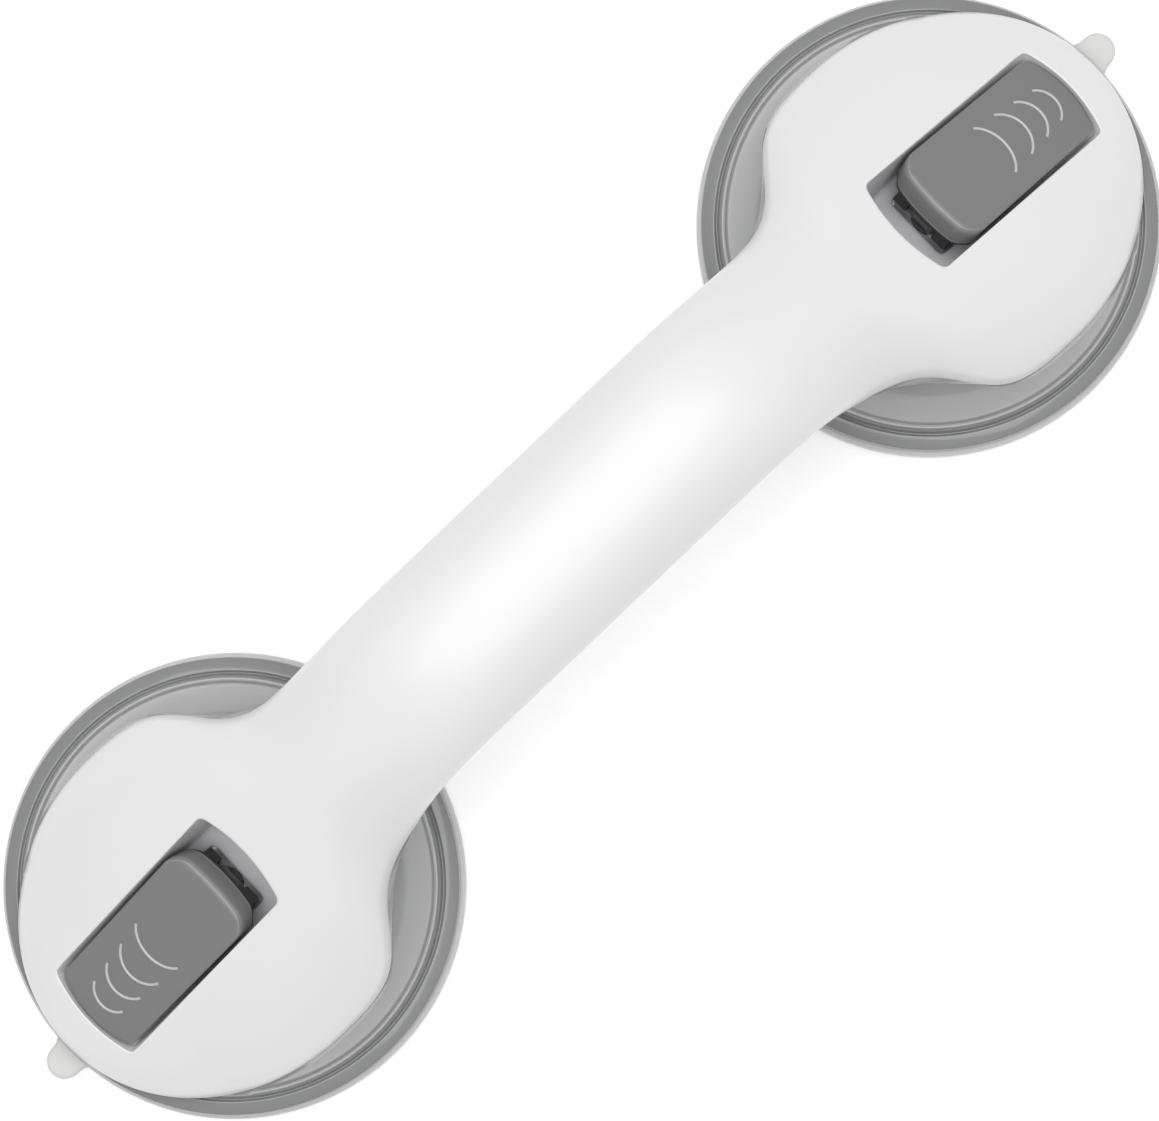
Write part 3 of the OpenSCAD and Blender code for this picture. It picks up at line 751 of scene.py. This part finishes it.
def housing_rings():
    rings = []
    for s in run[:len(flange_profile)]:
        rings.append(column_ring(*profile_at(np.minimum(s, column_ends))))
    for t in np.linspace(0, 1, 41):
        rings.append(column_ring(*profile_at(
            np.where(column_ends > flange_run, flange_run + (column_ends - flange_run) * t, column_ends))))
    rim_r = profile_at(column_ends)[0]
    for t in np.linspace(0, 1, 9)[1:]:
        r = rim_r * (1 - t) + boss_r * t
        rings.append(column_ring(r, seam_z(r * np.cos(column_turns)) - deck_gap))
    rings.append(column_ring(np.full_like(rim_r, boss_r), boss_top - 0.3))
    rings.append(column_ring(np.full_like(rim_r, boss_r - 0.3), boss_top))
    rings.append(column_ring(np.full_like(rim_r, stud_hole), boss_top))
    rings.append(column_ring(np.full_like(rim_r, stud_hole), boss_low))
    rings.append(column_ring(np.full_like(rim_r, boss_r), boss_low))
    deck = seam_z(boss_r * np.cos(column_turns)) - deck_gap - housing_wall
    rings.append(column_ring(np.full_like(rim_r, boss_r), np.maximum(deck, boss_low + 0.02)))
    for t in (0.5, 1.0):
        r = boss_r * (1 - t) + (rim_r - 1.5 * housing_wall) * t
        under = seam_z(r * np.cos(column_turns)) - deck_gap - housing_wall
        rings.append(column_ring(r, np.maximum(under, 4.4)))
    rings.append(column_ring(np.full_like(rim_r, foot_r - 2.6), 4.3))
    rings.append(column_ring(np.full_like(rim_r, foot_r - 1.2), flange_z))
    rings.append(rings[0])
    return rings


# %% Build the housings


def bed_block():
    """The raised bed that carries the wear plate, as a bevelled block."""
    bm = bmesh.new()
    bmesh.ops.create_cube(bm, size=1)
    low, high = bed_low, bed_high
    for v in bm.verts:
        v.co = [(low[i] + high[i]) / 2 + v.co[i] * (high[i] - low[i]) for i in range(3)]
    bmesh.ops.bevel(bm, geom=bm.edges, offset=bed_bevel, segments=2, affect="EDGES")
    points = np.array([v.co for v in bm.verts])
    faces = [[v.index for v in f.verts] for f in bm.faces]
    bm.free()
    return points, faces


for name, side in (("left", -1), ("right", 1)):
    skin = Skin()
    rings = housing_rings()
    # Painted light: the flange rings get the darker grey as painted shade, and the ring where the flange
    # steps up to the dome gets the pale grey of a painted highlight.
    bright = len(flange_profile) - 2
    skin.rings(rings, side=side, painted_light=[1.0 if i < bright else 0.5 if i < bright + 1 else 0.0
                                       for i in range(len(rings))])
    points, faces = bed_block()
    start = skin.add(place(points, side))
    skin.faces.extend([tuple(start + i for i in f) for f in faces])
    housing = skin.solid("housing_" + name, crisp=38)
    housing.data.materials.append(grey_abs)
    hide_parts("cup_housing_" + name)
    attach(housing, "handle")
    report(housing)

# %% [markdown]
# ## The suction cups
# A cup is a soft turned disc: a thick middle round the stud, a thin skirt, and a
# flat sealing ring. Fine rings on its underside grip the tile. Its rim carries a
# peel tab. The cup bends between the handle and the stud, which draws its middle
# up.

# %% Profile of a cup
seal_r, hub_r, cup_hollow, rim_t, hub_top_z = cup_r - 6, 12.0, 3.6, 3.0, 10.0


def under_z(r):
    return cup_hollow * (1 - ease((r - hub_r) / (seal_r - hub_r)))


def over_z(r):
    return rim_t + 0.9 * under_z(r)


def cup_profile():
    under = [(r, float(under_z(r))) for r in np.linspace(hub_r, seal_r, 24)]
    ribs = []
    for k in range(5):
        r = seal_r + 0.5 + k * 1.0
        ribs += [(r, 0.0), (r + 0.35, 0.0), (r + 0.45, 0.14), (r + 0.75, 0.14), (r + 0.85, 0.0)]
    edge = (arc_points((cup_r - 0.35, 0.35), 0.35, -90, 0, 5)
            + arc_points((cup_r - 0.7, rim_t - 0.7), 0.7, 0, 90, 7))
    over = [(r, float(over_z(r))) for r in np.linspace(seal_r, hub_r + 1.2, 24)]
    hub_side = [(hub_r + 0.5, float(over_z(hub_r)) + 0.7), (hub_r, hub_top_z - 0.9),
                (hub_r - 0.9, hub_top_z), (4.5, hub_top_z), (4.5, 7.7), (9.3, 7.7), (9.3, 4.9),
                (0.0, 4.9), (0.0, cup_hollow)]
    return under + ribs + edge + over + hub_side + [under[0]]


# %% Rings of the peel tab
tab_turn, tab_out, tab_r = math.radians(2.5), 6.2, 3.75


def tab_outline(inset):
    """The tab in plan, with hollow corners where it leaves the rim."""
    tip = cup_r + tab_out - tab_r
    root = cup_r - 1.6
    side = []
    for t in np.linspace(0, 1, 9):
        side.append((root + (tip - root) * t, tab_r + 2.1 * (1 - t) ** 2.2 - inset))
    cap = [(tip + (tab_r - inset) * math.sin(a), (tab_r - inset) * math.cos(a))
           for a in np.linspace(0, math.pi, 25)[1:-1]]
    half = [(root + inset, 0.0)]
    return np.array(half + side + cap + [(x, -y) for x, y in reversed(side)])


def tab_rings():
    rings = []
    for z, inset in ((0.5, 1.2), (0.5, 0.3), (0.7, 0.05), (1.1, 0.0), (1.9, 0.0), (2.2, 0.1),
                     (2.35, 0.4), (2.35, 1.2)):
        plan = tab_outline(inset)
        c, s = math.cos(tab_turn), math.sin(tab_turn)
        turned = plan @ np.array([[c, s], [-s, c]])
        rings.append(raised(turned, z))
    middle = rings[0].mean(0)
    low = np.tile([middle[0], middle[1], 0.5], (len(rings[0]), 1))
    high = np.tile([middle[0], middle[1], 2.35], (len(rings[0]), 1))
    return [low] + rings + [high]


# %% Build the cups
for name, side in (("left", -1), ("right", 1)):
    skin = Skin()
    turn = np.linspace(0, 2 * math.pi, 192, endpoint=False)
    rings = [np.stack([r * np.cos(turn), r * np.sin(turn), np.full(192, z)], 1)
             for r, z in cup_profile()]
    skin.rings(rings, side=side)
    tab = [r * [1, side, 1] for r in tab_rings()]
    skin.rings(tab, side=side)
    cup = skin.solid("cup_" + name, crisp=50)
    cup.data.materials.append(cup_rubber)
    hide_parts("suction_cup_" + name)
    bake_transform(cup)
    report(cup)

# %% [markdown]
# ## The levers
# A lever is a satin grey moulding with a gently crowned top, a folded-over back
# and a bulging tip. It is built lying flat, as (u along it, y across, n up from the
# pin), from one outline in plan: rings shrink to a middle line above and below,
# and the edge is rolled softly at the sides and more widely at the leaning back.
# A pale line along the roll is a painted highlight, and the underside and the cheeks that stand in the
# slot are painted dark as painted shade.

# %% Outline and heights of a lever


def lever_outline(count=240):
    """The outline in plan, the same on both sides so that the middle closes."""
    far = bulged_end(lever_reach + 0.4, tip_bulge, tip_half, tip_corner)
    near = -bulged_end(lever_back, back_bulge, lever_half, back_corner)
    far, near = far[len(far) // 2:], near[:len(near) // 2 + 1]
    side = np.concatenate([far, between(far[-1], near[0]), near])
    run_of = np.concatenate([[0], np.cumsum(np.hypot(*np.diff(side, axis=0).T))])
    even = np.linspace(0, run_of[-1], count // 2 + 1)
    side = np.stack([np.interp(even, run_of, side[:, 0]), np.interp(even, run_of, side[:, 1])], 1)
    side[[0, -1], 1] = 0
    return np.concatenate([side, side[-2:0:-1] * [1, -1]])


outline = lever_outline()
ahead, behind = np.roll(outline, -1, 0), np.roll(outline, 1, 0)
tangent = ahead - behind
outward = np.stack([tangent[:, 1], -tangent[:, 0]], 1) / np.hypot(*tangent.T)[:, None]
crown = 0.45


def crown_n(u, y):
    return lever_top - crown * (y / lever_half) ** 2 - 0.25 * ease((u - 30) / 12)


def belly_n(u):
    return np.interp(u, [-5, 13, 41], [-0.3, -0.3, 4.5])


# %% Rings of a lever
quarter_turn = np.linspace(0, math.pi / 2, 8)
side_roll = [(0.6 * (1 - math.sin(a)), 0.6 * (1 - math.cos(a))) for a in quarter_turn]
back_fold = [(1.5 * (1 - math.sin(a)), 1.3 * (1 - math.cos(a))) for a in quarter_turn]
back_lean, back_low = 0.5, 0.3


def lever_rings():
    back = ease((1.0 - outline[:, 0]) / 3.2)[:, None]
    lean = back_lean * back
    rings = []
    roll = [np.array(a) * (1 - back) + np.array(b) * back for a, b in zip(side_roll, back_fold)]
    shoulder = outline - outward * roll[0][:, :1]
    middle = np.column_stack([np.clip(outline[:, 0], 3.0, 32.0), np.zeros(len(outline))])
    for t in np.linspace(0, 1, 13)[:-1]:
        plan = middle * (1 - t) + shoulder * t
        rings.append(np.column_stack([plan, crown_n(*plan.T)]))
    edge_n = crown_n(*shoulder.T)
    for step in roll:
        plan = outline - outward * step[:, :1]
        rings.append(np.column_stack([plan, edge_n - step[:, 1]]))
    top_n = rings[-1][:, 2]
    low_n = belly_n(outline[:, 0]) + back_low * back[:, 0]
    for t in (0.33, 0.67, 1.0):
        plan = outline - outward * (0.15 + lean) * t
        rings.append(np.column_stack([plan, top_n * (1 - t) + (low_n + 0.3) * t]))
    for inset, lift in ((0.22, 0.1), (0.4, 0.02), (0.6, 0.0), (1.2, 0.0), (1.4, 0.2)):
        plan = outline - outward * (inset + lean)
        rings.append(np.column_stack([plan, low_n + lift]))
    plan = outline - outward * (1.6 + lean)
    roof = np.maximum(lever_top - 2.3 - 0.25 * ease((plan[:, 0] - 30) / 12), low_n + 0.4)
    rings.append(np.column_stack([plan, roof]))
    for t in (0.5, 1.0):
        way = plan * (1 - t) + middle * t
        rings.append(np.column_stack([way, np.full(len(way), lever_top - 2.3)]))
    return rings


def tilt(points, side):
    """Places on a lever, as (u, y, n), put into the bar in metres."""
    p = np.asarray(points, float)
    d, z = lever_place(p[:, 0], p[:, 2])
    return place(np.stack([d, p[:, 1], z], 1), side)


# %% [markdown]
# Under the lever two cheeks straddle the stud and carry the cam. The cam is drawn
# so that its reach towards its seat falls evenly as the lever swings up. Each cheek
# is a flat curve with a hole for the pin, given its thickness by the curve itself.

# %% Cheeks of the cam
cam_lock, cam_rate, swing = 7.5, 3 / math.radians(85), 85


def cam_point(turn):
    a = lever_slope - math.radians(90 + turn)
    reach = cam_lock - cam_rate * math.radians(turn)
    return (reach * math.cos(a) - cam_rate * math.sin(a),
            reach * math.sin(a) + cam_rate * math.cos(a))


def cheek_outline():
    first, last_point = cam_point(0), cam_point(swing)
    a = lever_slope - math.radians(90 + swing)
    back = (-2.9, last_point[1] + (last_point[0] + 2.9) * math.cos(a) / math.sin(a))
    land = (11.0, first[1] + (11.0 - first[0]) * math.tan(lever_slope))
    cam = [cam_point(t) for t in np.linspace(swing, 0, 24)]
    return [(-2.9, 5.6), back] + cam + [land, (13.0, -0.3), (13.0, 5.6)]


def flat_curve(name, outlines, half_thickness, bevel):
    curve = bpy.data.curves.new(name, "CURVE")
    curve.dimensions, curve.fill_mode = "2D", "BOTH"
    curve.extrude, curve.bevel_depth, curve.bevel_resolution = half_thickness - bevel, bevel, 2
    for points in outlines:
        spline = curve.splines.new("POLY")
        spline.points.add(len(points) - 1)
        for p, (x, y) in zip(spline.points, points):
            p.co = (x, y, 0, 1)
        spline.use_cyclic_u = True
    obj = bpy.data.objects.new(name, curve)
    bpy.context.collection.objects.link(obj)
    mesh = worked_out(obj)
    points = np.array([v.co for v in mesh.vertices])
    faces = [list(f.vertices) for f in mesh.polygons]
    bpy.data.objects.remove(obj)
    bpy.data.meshes.remove(mesh)
    return points, faces


def shrink(points, by):
    p = np.array(points)
    t = np.roll(p, -1, 0) - np.roll(p, 1, 0)
    n = np.stack([t[:, 1], -t[:, 0]], 1) / np.maximum(np.hypot(*t.T), 1e-9)[:, None]
    area = np.sum(p[:, 0] * np.roll(p[:, 1], -1) - np.roll(p[:, 0], -1) * p[:, 1])
    return p - n * by * np.sign(area)


pin_hole = [(1.75 * math.cos(a), 1.75 * math.sin(a)) for a in np.linspace(0, 2 * math.pi, 40)[:-1]]
cheek = flat_curve("cheek", [shrink(cheek_outline(), 0.2), pin_hole], 1.7, 0.2)
web_outline = [(7.9, -4.0), (11.0, -2.25), (13.0, -0.3), (13.0, 5.6), (7.9, 5.6)]
web = flat_curve("web", [shrink(web_outline, 0.1)], 4.0, 0.1)
print("cheek points", len(cheek[0]), "web points", len(web[0]))

# %% Build the levers
for name, side in (("left", -1), ("right", 1)):
    skin = Skin()
    rings = lever_rings()
    # Painted light: the middle ring of the rolled edge gets a paler painted highlight, and the lower edge,
    # the underside and the cam cheeks are painted near black as painted shade.
    skin.rings([tilt(r, side) for r in rings], world=True,
               painted_light=[0.45 if i == 15 else 0.0 if i < 22 else 1.0 for i in range(len(rings))])
    for (points, faces), y in ((cheek, 5.5), (cheek, -5.5), (web, 0.0)):
        flat = np.stack([points[:, 0], points[:, 2] + y, points[:, 1]], 1)
        start = skin.add(tilt(flat, side), painted_light=1.0)
        skin.faces.extend([tuple(start + i for i in f) for f in faces])
    lever = skin.solid("lever_moulding_" + name, crisp=30)
    lever.data.materials.append(lever_abs)
    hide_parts("lever_" + name)
    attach(lever, "lever_" + name)
    report(lever)

# %% [markdown]
# ## Grip ridges on the levers
# Four thin ridges near the tip stop a wet thumb from slipping. They are one bowed
# line, repeated four times and each a little smaller, so Geometry Nodes make them:
# a line is bent by a formula, set on a row of points, swept, and pressed on to the
# crowned top.

# %% Geometry Nodes helpers


def new_tree(name, sockets):
    tree = bpy.data.node_groups.new(name, "GeometryNodeTree")
    tree.interface.new_socket("Geometry", in_out="INPUT", socket_type="NodeSocketGeometry")
    tree.interface.new_socket("Geometry", in_out="OUTPUT", socket_type="NodeSocketGeometry")
    for label, kind in sockets:
        tree.interface.new_socket(label, in_out="INPUT", socket_type=kind)
    return tree, tree.nodes.new("NodeGroupInput"), tree.nodes.new("NodeGroupOutput")


def maths(tree, operation, a, b=None, c=None):
    node = tree.nodes.new("ShaderNodeMath")
    node.operation = operation
    for socket, value in zip(node.inputs, (a, b, c)):
        if isinstance(value, bpy.types.NodeSocket):
            tree.links.new(value, socket)
        elif value is not None:
            socket.default_value = value
    return node.outputs[0]


def run_tree(name, tree, values, mesh=None):
    """Runs a tree once on a new object and returns the result as a plain object."""
    source = bpy.data.objects.new(name + "_source", mesh or bpy.data.meshes.new(name + "_source"))
    bpy.context.collection.objects.link(source)
    modifier = source.modifiers.new("nodes", "NODES")
    modifier.node_group = tree
    names = {s.name: s.identifier for s in tree.interface.items_tree if s.in_out == "INPUT"}
    for label, value in values.items():
        modifier[names[label]] = value
    done = worked_out(source)
    bpy.data.objects.remove(source)
    obj = bpy.data.objects.new(name, done)
    done.name = name
    bpy.context.collection.objects.link(obj)
    return obj


# %% The ridge tree
ridge_inputs = [("Radius", "NodeSocketFloat"), ("Half Angle", "NodeSocketFloat"),
                ("Thickness", "NodeSocketFloat"), ("First", "NodeSocketFloat"),
                ("Step", "NodeSocketFloat"), ("Gather", "NodeSocketFloat"),
                ("Shrink", "NodeSocketFloat"), ("Count", "NodeSocketInt"),
                ("Crown", "NodeSocketFloat"), ("Height", "NodeSocketFloat"),
                ("Finish", "NodeSocketMaterial")]
ridges, given, result = new_tree("grip_ridges", ridge_inputs)
put = given.outputs
arc = wire(ridges, "GeometryNodeCurveArc", Resolution=33, Radius=put["Radius"],
           Start_Angle=maths(ridges, "MULTIPLY", put["Half Angle"], -1.0),
           Sweep_Angle=maths(ridges, "MULTIPLY", put["Half Angle"], 2.0))
chord = maths(ridges, "MULTIPLY", put["Radius"], maths(ridges, "COSINE", put["Half Angle"]))
bowed = wire(ridges, "GeometryNodeSetPosition", Geometry=arc.outputs[0],
             Offset=wire(ridges, "ShaderNodeCombineXYZ",
                         X=maths(ridges, "MULTIPLY", chord, -1.0)).outputs[0])
number = ridges.nodes.new("GeometryNodeInputIndex").outputs[0]
stepped = maths(ridges, "MULTIPLY_ADD", put["Step"], number, put["First"])
gathered = maths(ridges, "MULTIPLY", put["Gather"], maths(ridges, "MULTIPLY", number, number))
along = maths(ridges, "SUBTRACT", stepped, gathered)
row = wire(ridges, "GeometryNodePoints", Count=put["Count"],
           Position=wire(ridges, "ShaderNodeCombineXYZ", X=along).outputs[0])
size = maths(ridges, "SUBTRACT", 1.0, maths(ridges, "MULTIPLY", put["Shrink"], number))
flat_first = maths(ridges, "MULTIPLY", 0.26, maths(ridges, "MAXIMUM", 0.0,
                                                   maths(ridges, "SUBTRACT", 1.0, number)))
size_x = maths(ridges, "MULTIPLY", size, maths(ridges, "SUBTRACT", 1.06, flat_first))
size_3 = wire(ridges, "ShaderNodeCombineXYZ", X=size_x, Y=size, Z=size)
set_out = wire(ridges, "GeometryNodeInstanceOnPoints", Points=row.outputs[0], Instance=bowed.outputs[0],
               Scale=size_3.outputs[0])
lines = wire(ridges, "GeometryNodeRealizeInstances", Geometry=set_out.outputs[0])
spot_now = ridges.nodes.new("GeometryNodeInputPosition").outputs[0]
y_set = wire(ridges, "ShaderNodeSeparateXYZ", Vector=spot_now)
across = y_set.outputs[1]
fall = maths(ridges, "MULTIPLY", put["Crown"], maths(ridges, "MULTIPLY", across, across))
drop = maths(ridges, "SUBTRACT", put["Height"], fall)
pressed = wire(ridges, "GeometryNodeSetPosition", Geometry=lines.outputs[0],
               Offset=wire(ridges, "ShaderNodeCombineXYZ", Z=drop).outputs[0])
circle = wire(ridges, "GeometryNodeCurvePrimitiveCircle", Resolution=10, Radius=put["Thickness"])
swept = wire(ridges, "GeometryNodeCurveToMesh", Curve=pressed.outputs[0], Profile_Curve=circle.outputs[0],
             Fill_Caps=True)
dressed = wire(ridges, "GeometryNodeSetMaterial", Geometry=swept.outputs[0], Material=put["Finish"])
ridges.links.new(dressed.outputs[0], result.inputs[0])
print("ridge tree nodes", len(ridges.nodes))

# %% Set the ridges on both levers
for name, side in (("left", -1), ("right", 1)):
    # The ridge finish is a lighter grey than the lever: a painted highlight.
    ridge = run_tree("ridges_" + name, ridges, {
        "Radius": 6.95, "Half Angle": math.radians(65), "Thickness": 0.32, "First": 16.0,
        "Step": 6.4, "Gather": 0.14, "Shrink": 0.104, "Count": 4, "Crown": crown / lever_half ** 2,
        "Height": lever_top - 0.06, "Finish": ridge_painted_highlight})
    flat = np.array([v.co for v in ridge.data.vertices])
    flat[:, 2] -= 0.25 * ease((flat[:, 0] - 30) / 12)
    for v, co in zip(ridge.data.vertices, tilt(flat, side)):
        v.co = co
    finish_mesh(ridge.data, 60, 1e-7)
    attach(ridge, "lever_" + name)
    report(ridge)

# %% [markdown]
# ## Screws
# The bar is held by twelve pan-head screws of one kind, four through the lower
# shell and four under each deck. One screw is turned on a lathe with a crossed
# recess, and a Geometry Nodes tree sets copies of it on points.

# %% One screw, head down
head_r, head_h, screw_r = 2.7, 1.8, 1.5
deck_screw_r = 26.0           # circle of the screws round a stud


def screw_profile(length):
    head = [(0.0, -head_h), (head_r - 0.9, -head_h)] + \
        arc_points((head_r - 0.9, -head_h + 0.9), 0.9, -90, 0, 7) + [(head_r, -0.05), (head_r - 0.05, 0)]
    thread = []
    for k in range(int((length - 2.2) / 0.6)):
        thread += [(screw_r - 0.3, 0.5 + 0.6 * k), (screw_r, 0.8 + 0.6 * k)]
    return head + [(screw_r - 0.3, 0.0)] + thread + [(screw_r - 0.35, length - 1.4), (0.0, length)]


def screw_mesh(name, length):
    skin = Skin()
    skin.rings(lathe(screw_profile(length), count=28), world=True)
    screw = skin.solid(name, crisp=40)
    bits = Skin()
    arm, half = 1.35, 0.3
    quarter = [(arm, -half), (arm, half), (half, half)]
    plus = []
    for turn in range(4):
        for x, y in quarter:
            plus.append([(x, y), (-y, x), (-x, -y), (y, -x)][turn])
    ring = np.array([(x, y, 0) for x, y in plus])
    low, high = ring + [0, 0, -head_h - 0.4], ring * [0.6, 0.6, 1] + [0, 0, -head_h + 0.9]
    below, above = ring * 0 + [0, 0, -head_h - 0.4], ring * 0 + [0, 0, -head_h + 0.9]
    bits.rings([below * MM, low * MM, high * MM, above * MM], world=True)
    bit = bits.solid(name + "_bit", merge=1e-7)
    cut = screw.modifiers.new("recess", "BOOLEAN")
    cut.operation, cut.object, cut.solver = "DIFFERENCE", bit, "MANIFOLD"
    mesh = worked_out(screw)
    finish_mesh(mesh, 40)
    bpy.data.objects.remove(bit)
    bpy.data.objects.remove(screw)
    return bpy.data.objects.new(name, mesh)


# %% The screw tree
screw_tree, given, result = new_tree("set_of_screws", [("Screw", "NodeSocketObject"),
                                                       ("Size", "NodeSocketFloat"),
                                                       ("Finish", "NodeSocketMaterial")])
one = wire(screw_tree, "GeometryNodeObjectInfo", Object=given.outputs["Screw"])
spots = wire(screw_tree, "GeometryNodeMeshToPoints", Mesh=given.outputs["Geometry"])
copies = wire(screw_tree, "GeometryNodeInstanceOnPoints", Points=spots.outputs[0],
              Instance=one.outputs["Geometry"], Scale=given.outputs["Size"])
real = wire(screw_tree, "GeometryNodeRealizeInstances", Geometry=copies.outputs[0])
shiny = wire(screw_tree, "GeometryNodeSetMaterial", Geometry=real.outputs[0],
             Material=given.outputs["Finish"])
screw_tree.links.new(shiny.outputs[0], result.inputs[0])


def set_screws(name, places, blank, node):
    spots_mesh = bpy.data.meshes.new(name + "_spots")
    spots_mesh.from_pydata([tuple(p * MM for p in q) for q in places], [], [])
    screws = run_tree(name, screw_tree, {"Screw": blank, "Size": 1.0, "Finish": steel}, spots_mesh)
    screws.data.shade_smooth()
    screws.data.set_sharp_from_angle(angle=math.radians(40))
    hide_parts(node)
    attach(screws, "handle")
    report(screws)


# %% Set the screws
long_screw, short_screw = screw_mesh("long_screw", 16.0), screw_mesh("short_screw", 10.0)
set_screws("handle_screws", [(x, 0, float(low_z(abs(x) - axis_x)) + bore_depth) for x in screw_places],
           long_screw, "shell_screws")
for name, side in (("left", -1), ("right", 1)):
    spots_in = []
    for angle in (60, 120, 240, 300):
        d, y = (deck_screw_r * f(math.radians(angle)) for f in (math.cos, math.sin))
        seat = float(seam_z(d)) - 2 * part_gap - housing_wall - 0.6
        spots_in.append((side * (axis_x + d), y, seat))
    set_screws("deck_screws_" + name, spots_in, short_screw, "housing_screws_" + name)
for blank in (long_screw, short_screw):
    bpy.data.objects.remove(blank)

# %% [markdown]
# ## Parts that keep their exact form
# The studs, the pins and the wear plates are small and plain, and their exact
# shapes are right as they are, so they only take a finish.

# %% Dress the kept parts
# The pull studs and wear plates get near-black finishes: painted shade in the slots.
for node, finish in (("pull_stud", stud_nylon), ("lever_pin", steel), ("wear_plate", plate_black)):
    for end in ("left", "right"):
        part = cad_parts[node + "_" + end]
        part.data.materials.clear()
        part.data.materials.append(finish)
print("kept parts dressed")

# %% [markdown]
# ## Floor, light and camera
# The bar lies on a plain white floor, which stands for the wall it is fixed to. One
# wide soft light hangs overhead, so that the gloss of the grip reads as one soft
# band along its length, and the surroundings grow paler from the horizon upwards.

# %% Floor
floor_mesh = bpy.data.meshes.new("floor")
floor_mesh.from_pydata([(-4, -4, 0), (4, -4, 0), (4, 4, 0), (-4, 4, 0)], [], [(0, 1, 2, 3)])
floor = bpy.data.objects.new("floor", floor_mesh)
floor.location.z = -0.0004
bpy.context.collection.objects.link(floor)
floor_mat = bpy.data.materials.new("studio_floor")
floor_mat.use_nodes = True
floor_shader = floor_mat.node_tree.nodes["Principled BSDF"]
floor_shader.inputs["Base Color"].default_value = (0.8, 0.8, 0.8, 1)
floor_shader.inputs["Roughness"].default_value = 0.9
floor_shader.inputs["Emission Color"].default_value = (1, 1, 1, 1)
floor_shader.inputs["Emission Strength"].default_value = 0.3
floor_mesh.materials.append(floor_mat)

# %% Lights
scene = bpy.context.scene
world = bpy.data.worlds.new("studio")
scene.world = world
world.use_nodes = True
sky = world.node_tree
up = wire(sky, "ShaderNodeSeparateXYZ", Vector=wire(sky, "ShaderNodeTexCoord").outputs["Generated"])
fade = wire(sky, "ShaderNodeMapRange", Value=up.outputs[2], From_Min=0.0, From_Max=1.0, To_Min=0.22,
            To_Max=0.42)
sky.links.new(fade.outputs[0], sky.nodes["Background"].inputs[1])
sky.nodes["Background"].inputs[0].default_value = (1, 1, 1, 1)


def soft_light(name, place_at, aim, size, power):
    light = bpy.data.lights.new(name, "AREA")
    light.shape, light.size, light.energy = "RECTANGLE", size, power
    light.size_y = size
    obj = bpy.data.objects.new(name, light)
    obj.location = place_at
    obj.rotation_euler = (Vector(aim) - Vector(place_at)).to_track_quat("-Z", "Y").to_euler()
    bpy.context.collection.objects.link(obj)
    return obj


soft_light("overhead", (0.06, 0.04, 1.6), (0, 0, 0), 1.9, 29)

# %% Camera
view_turn, view_tip, view_lean = math.radians(43.46), math.radians(-3.50), math.radians(-2.71)
distance, lens_mm = 0.9, 36 * 3.6727351
aim_off = Vector((0.00055, 0.00101, 0))
turned = (Matrix.Rotation(view_tip, 3, "X") @ Matrix.Rotation(view_lean, 3, "Y")
          @ Matrix.Rotation(view_turn, 3, "Z"))
camera_data = bpy.data.cameras.new("camera")
camera_data.sensor_width = 36
camera_data.lens = lens_mm
camera_data.clip_end = 20
camera = bpy.data.objects.new("camera", camera_data)
bpy.context.collection.objects.link(camera)
camera.matrix_world = Matrix.Translation(turned.transposed() @ (Vector((0, 0, distance)) - aim_off)) \
    @ turned.transposed().to_4x4()
scene.camera = camera
scene.view_settings.view_transform = "Standard"
print("camera at", [round(v, 3) for v in camera.matrix_world.translation])
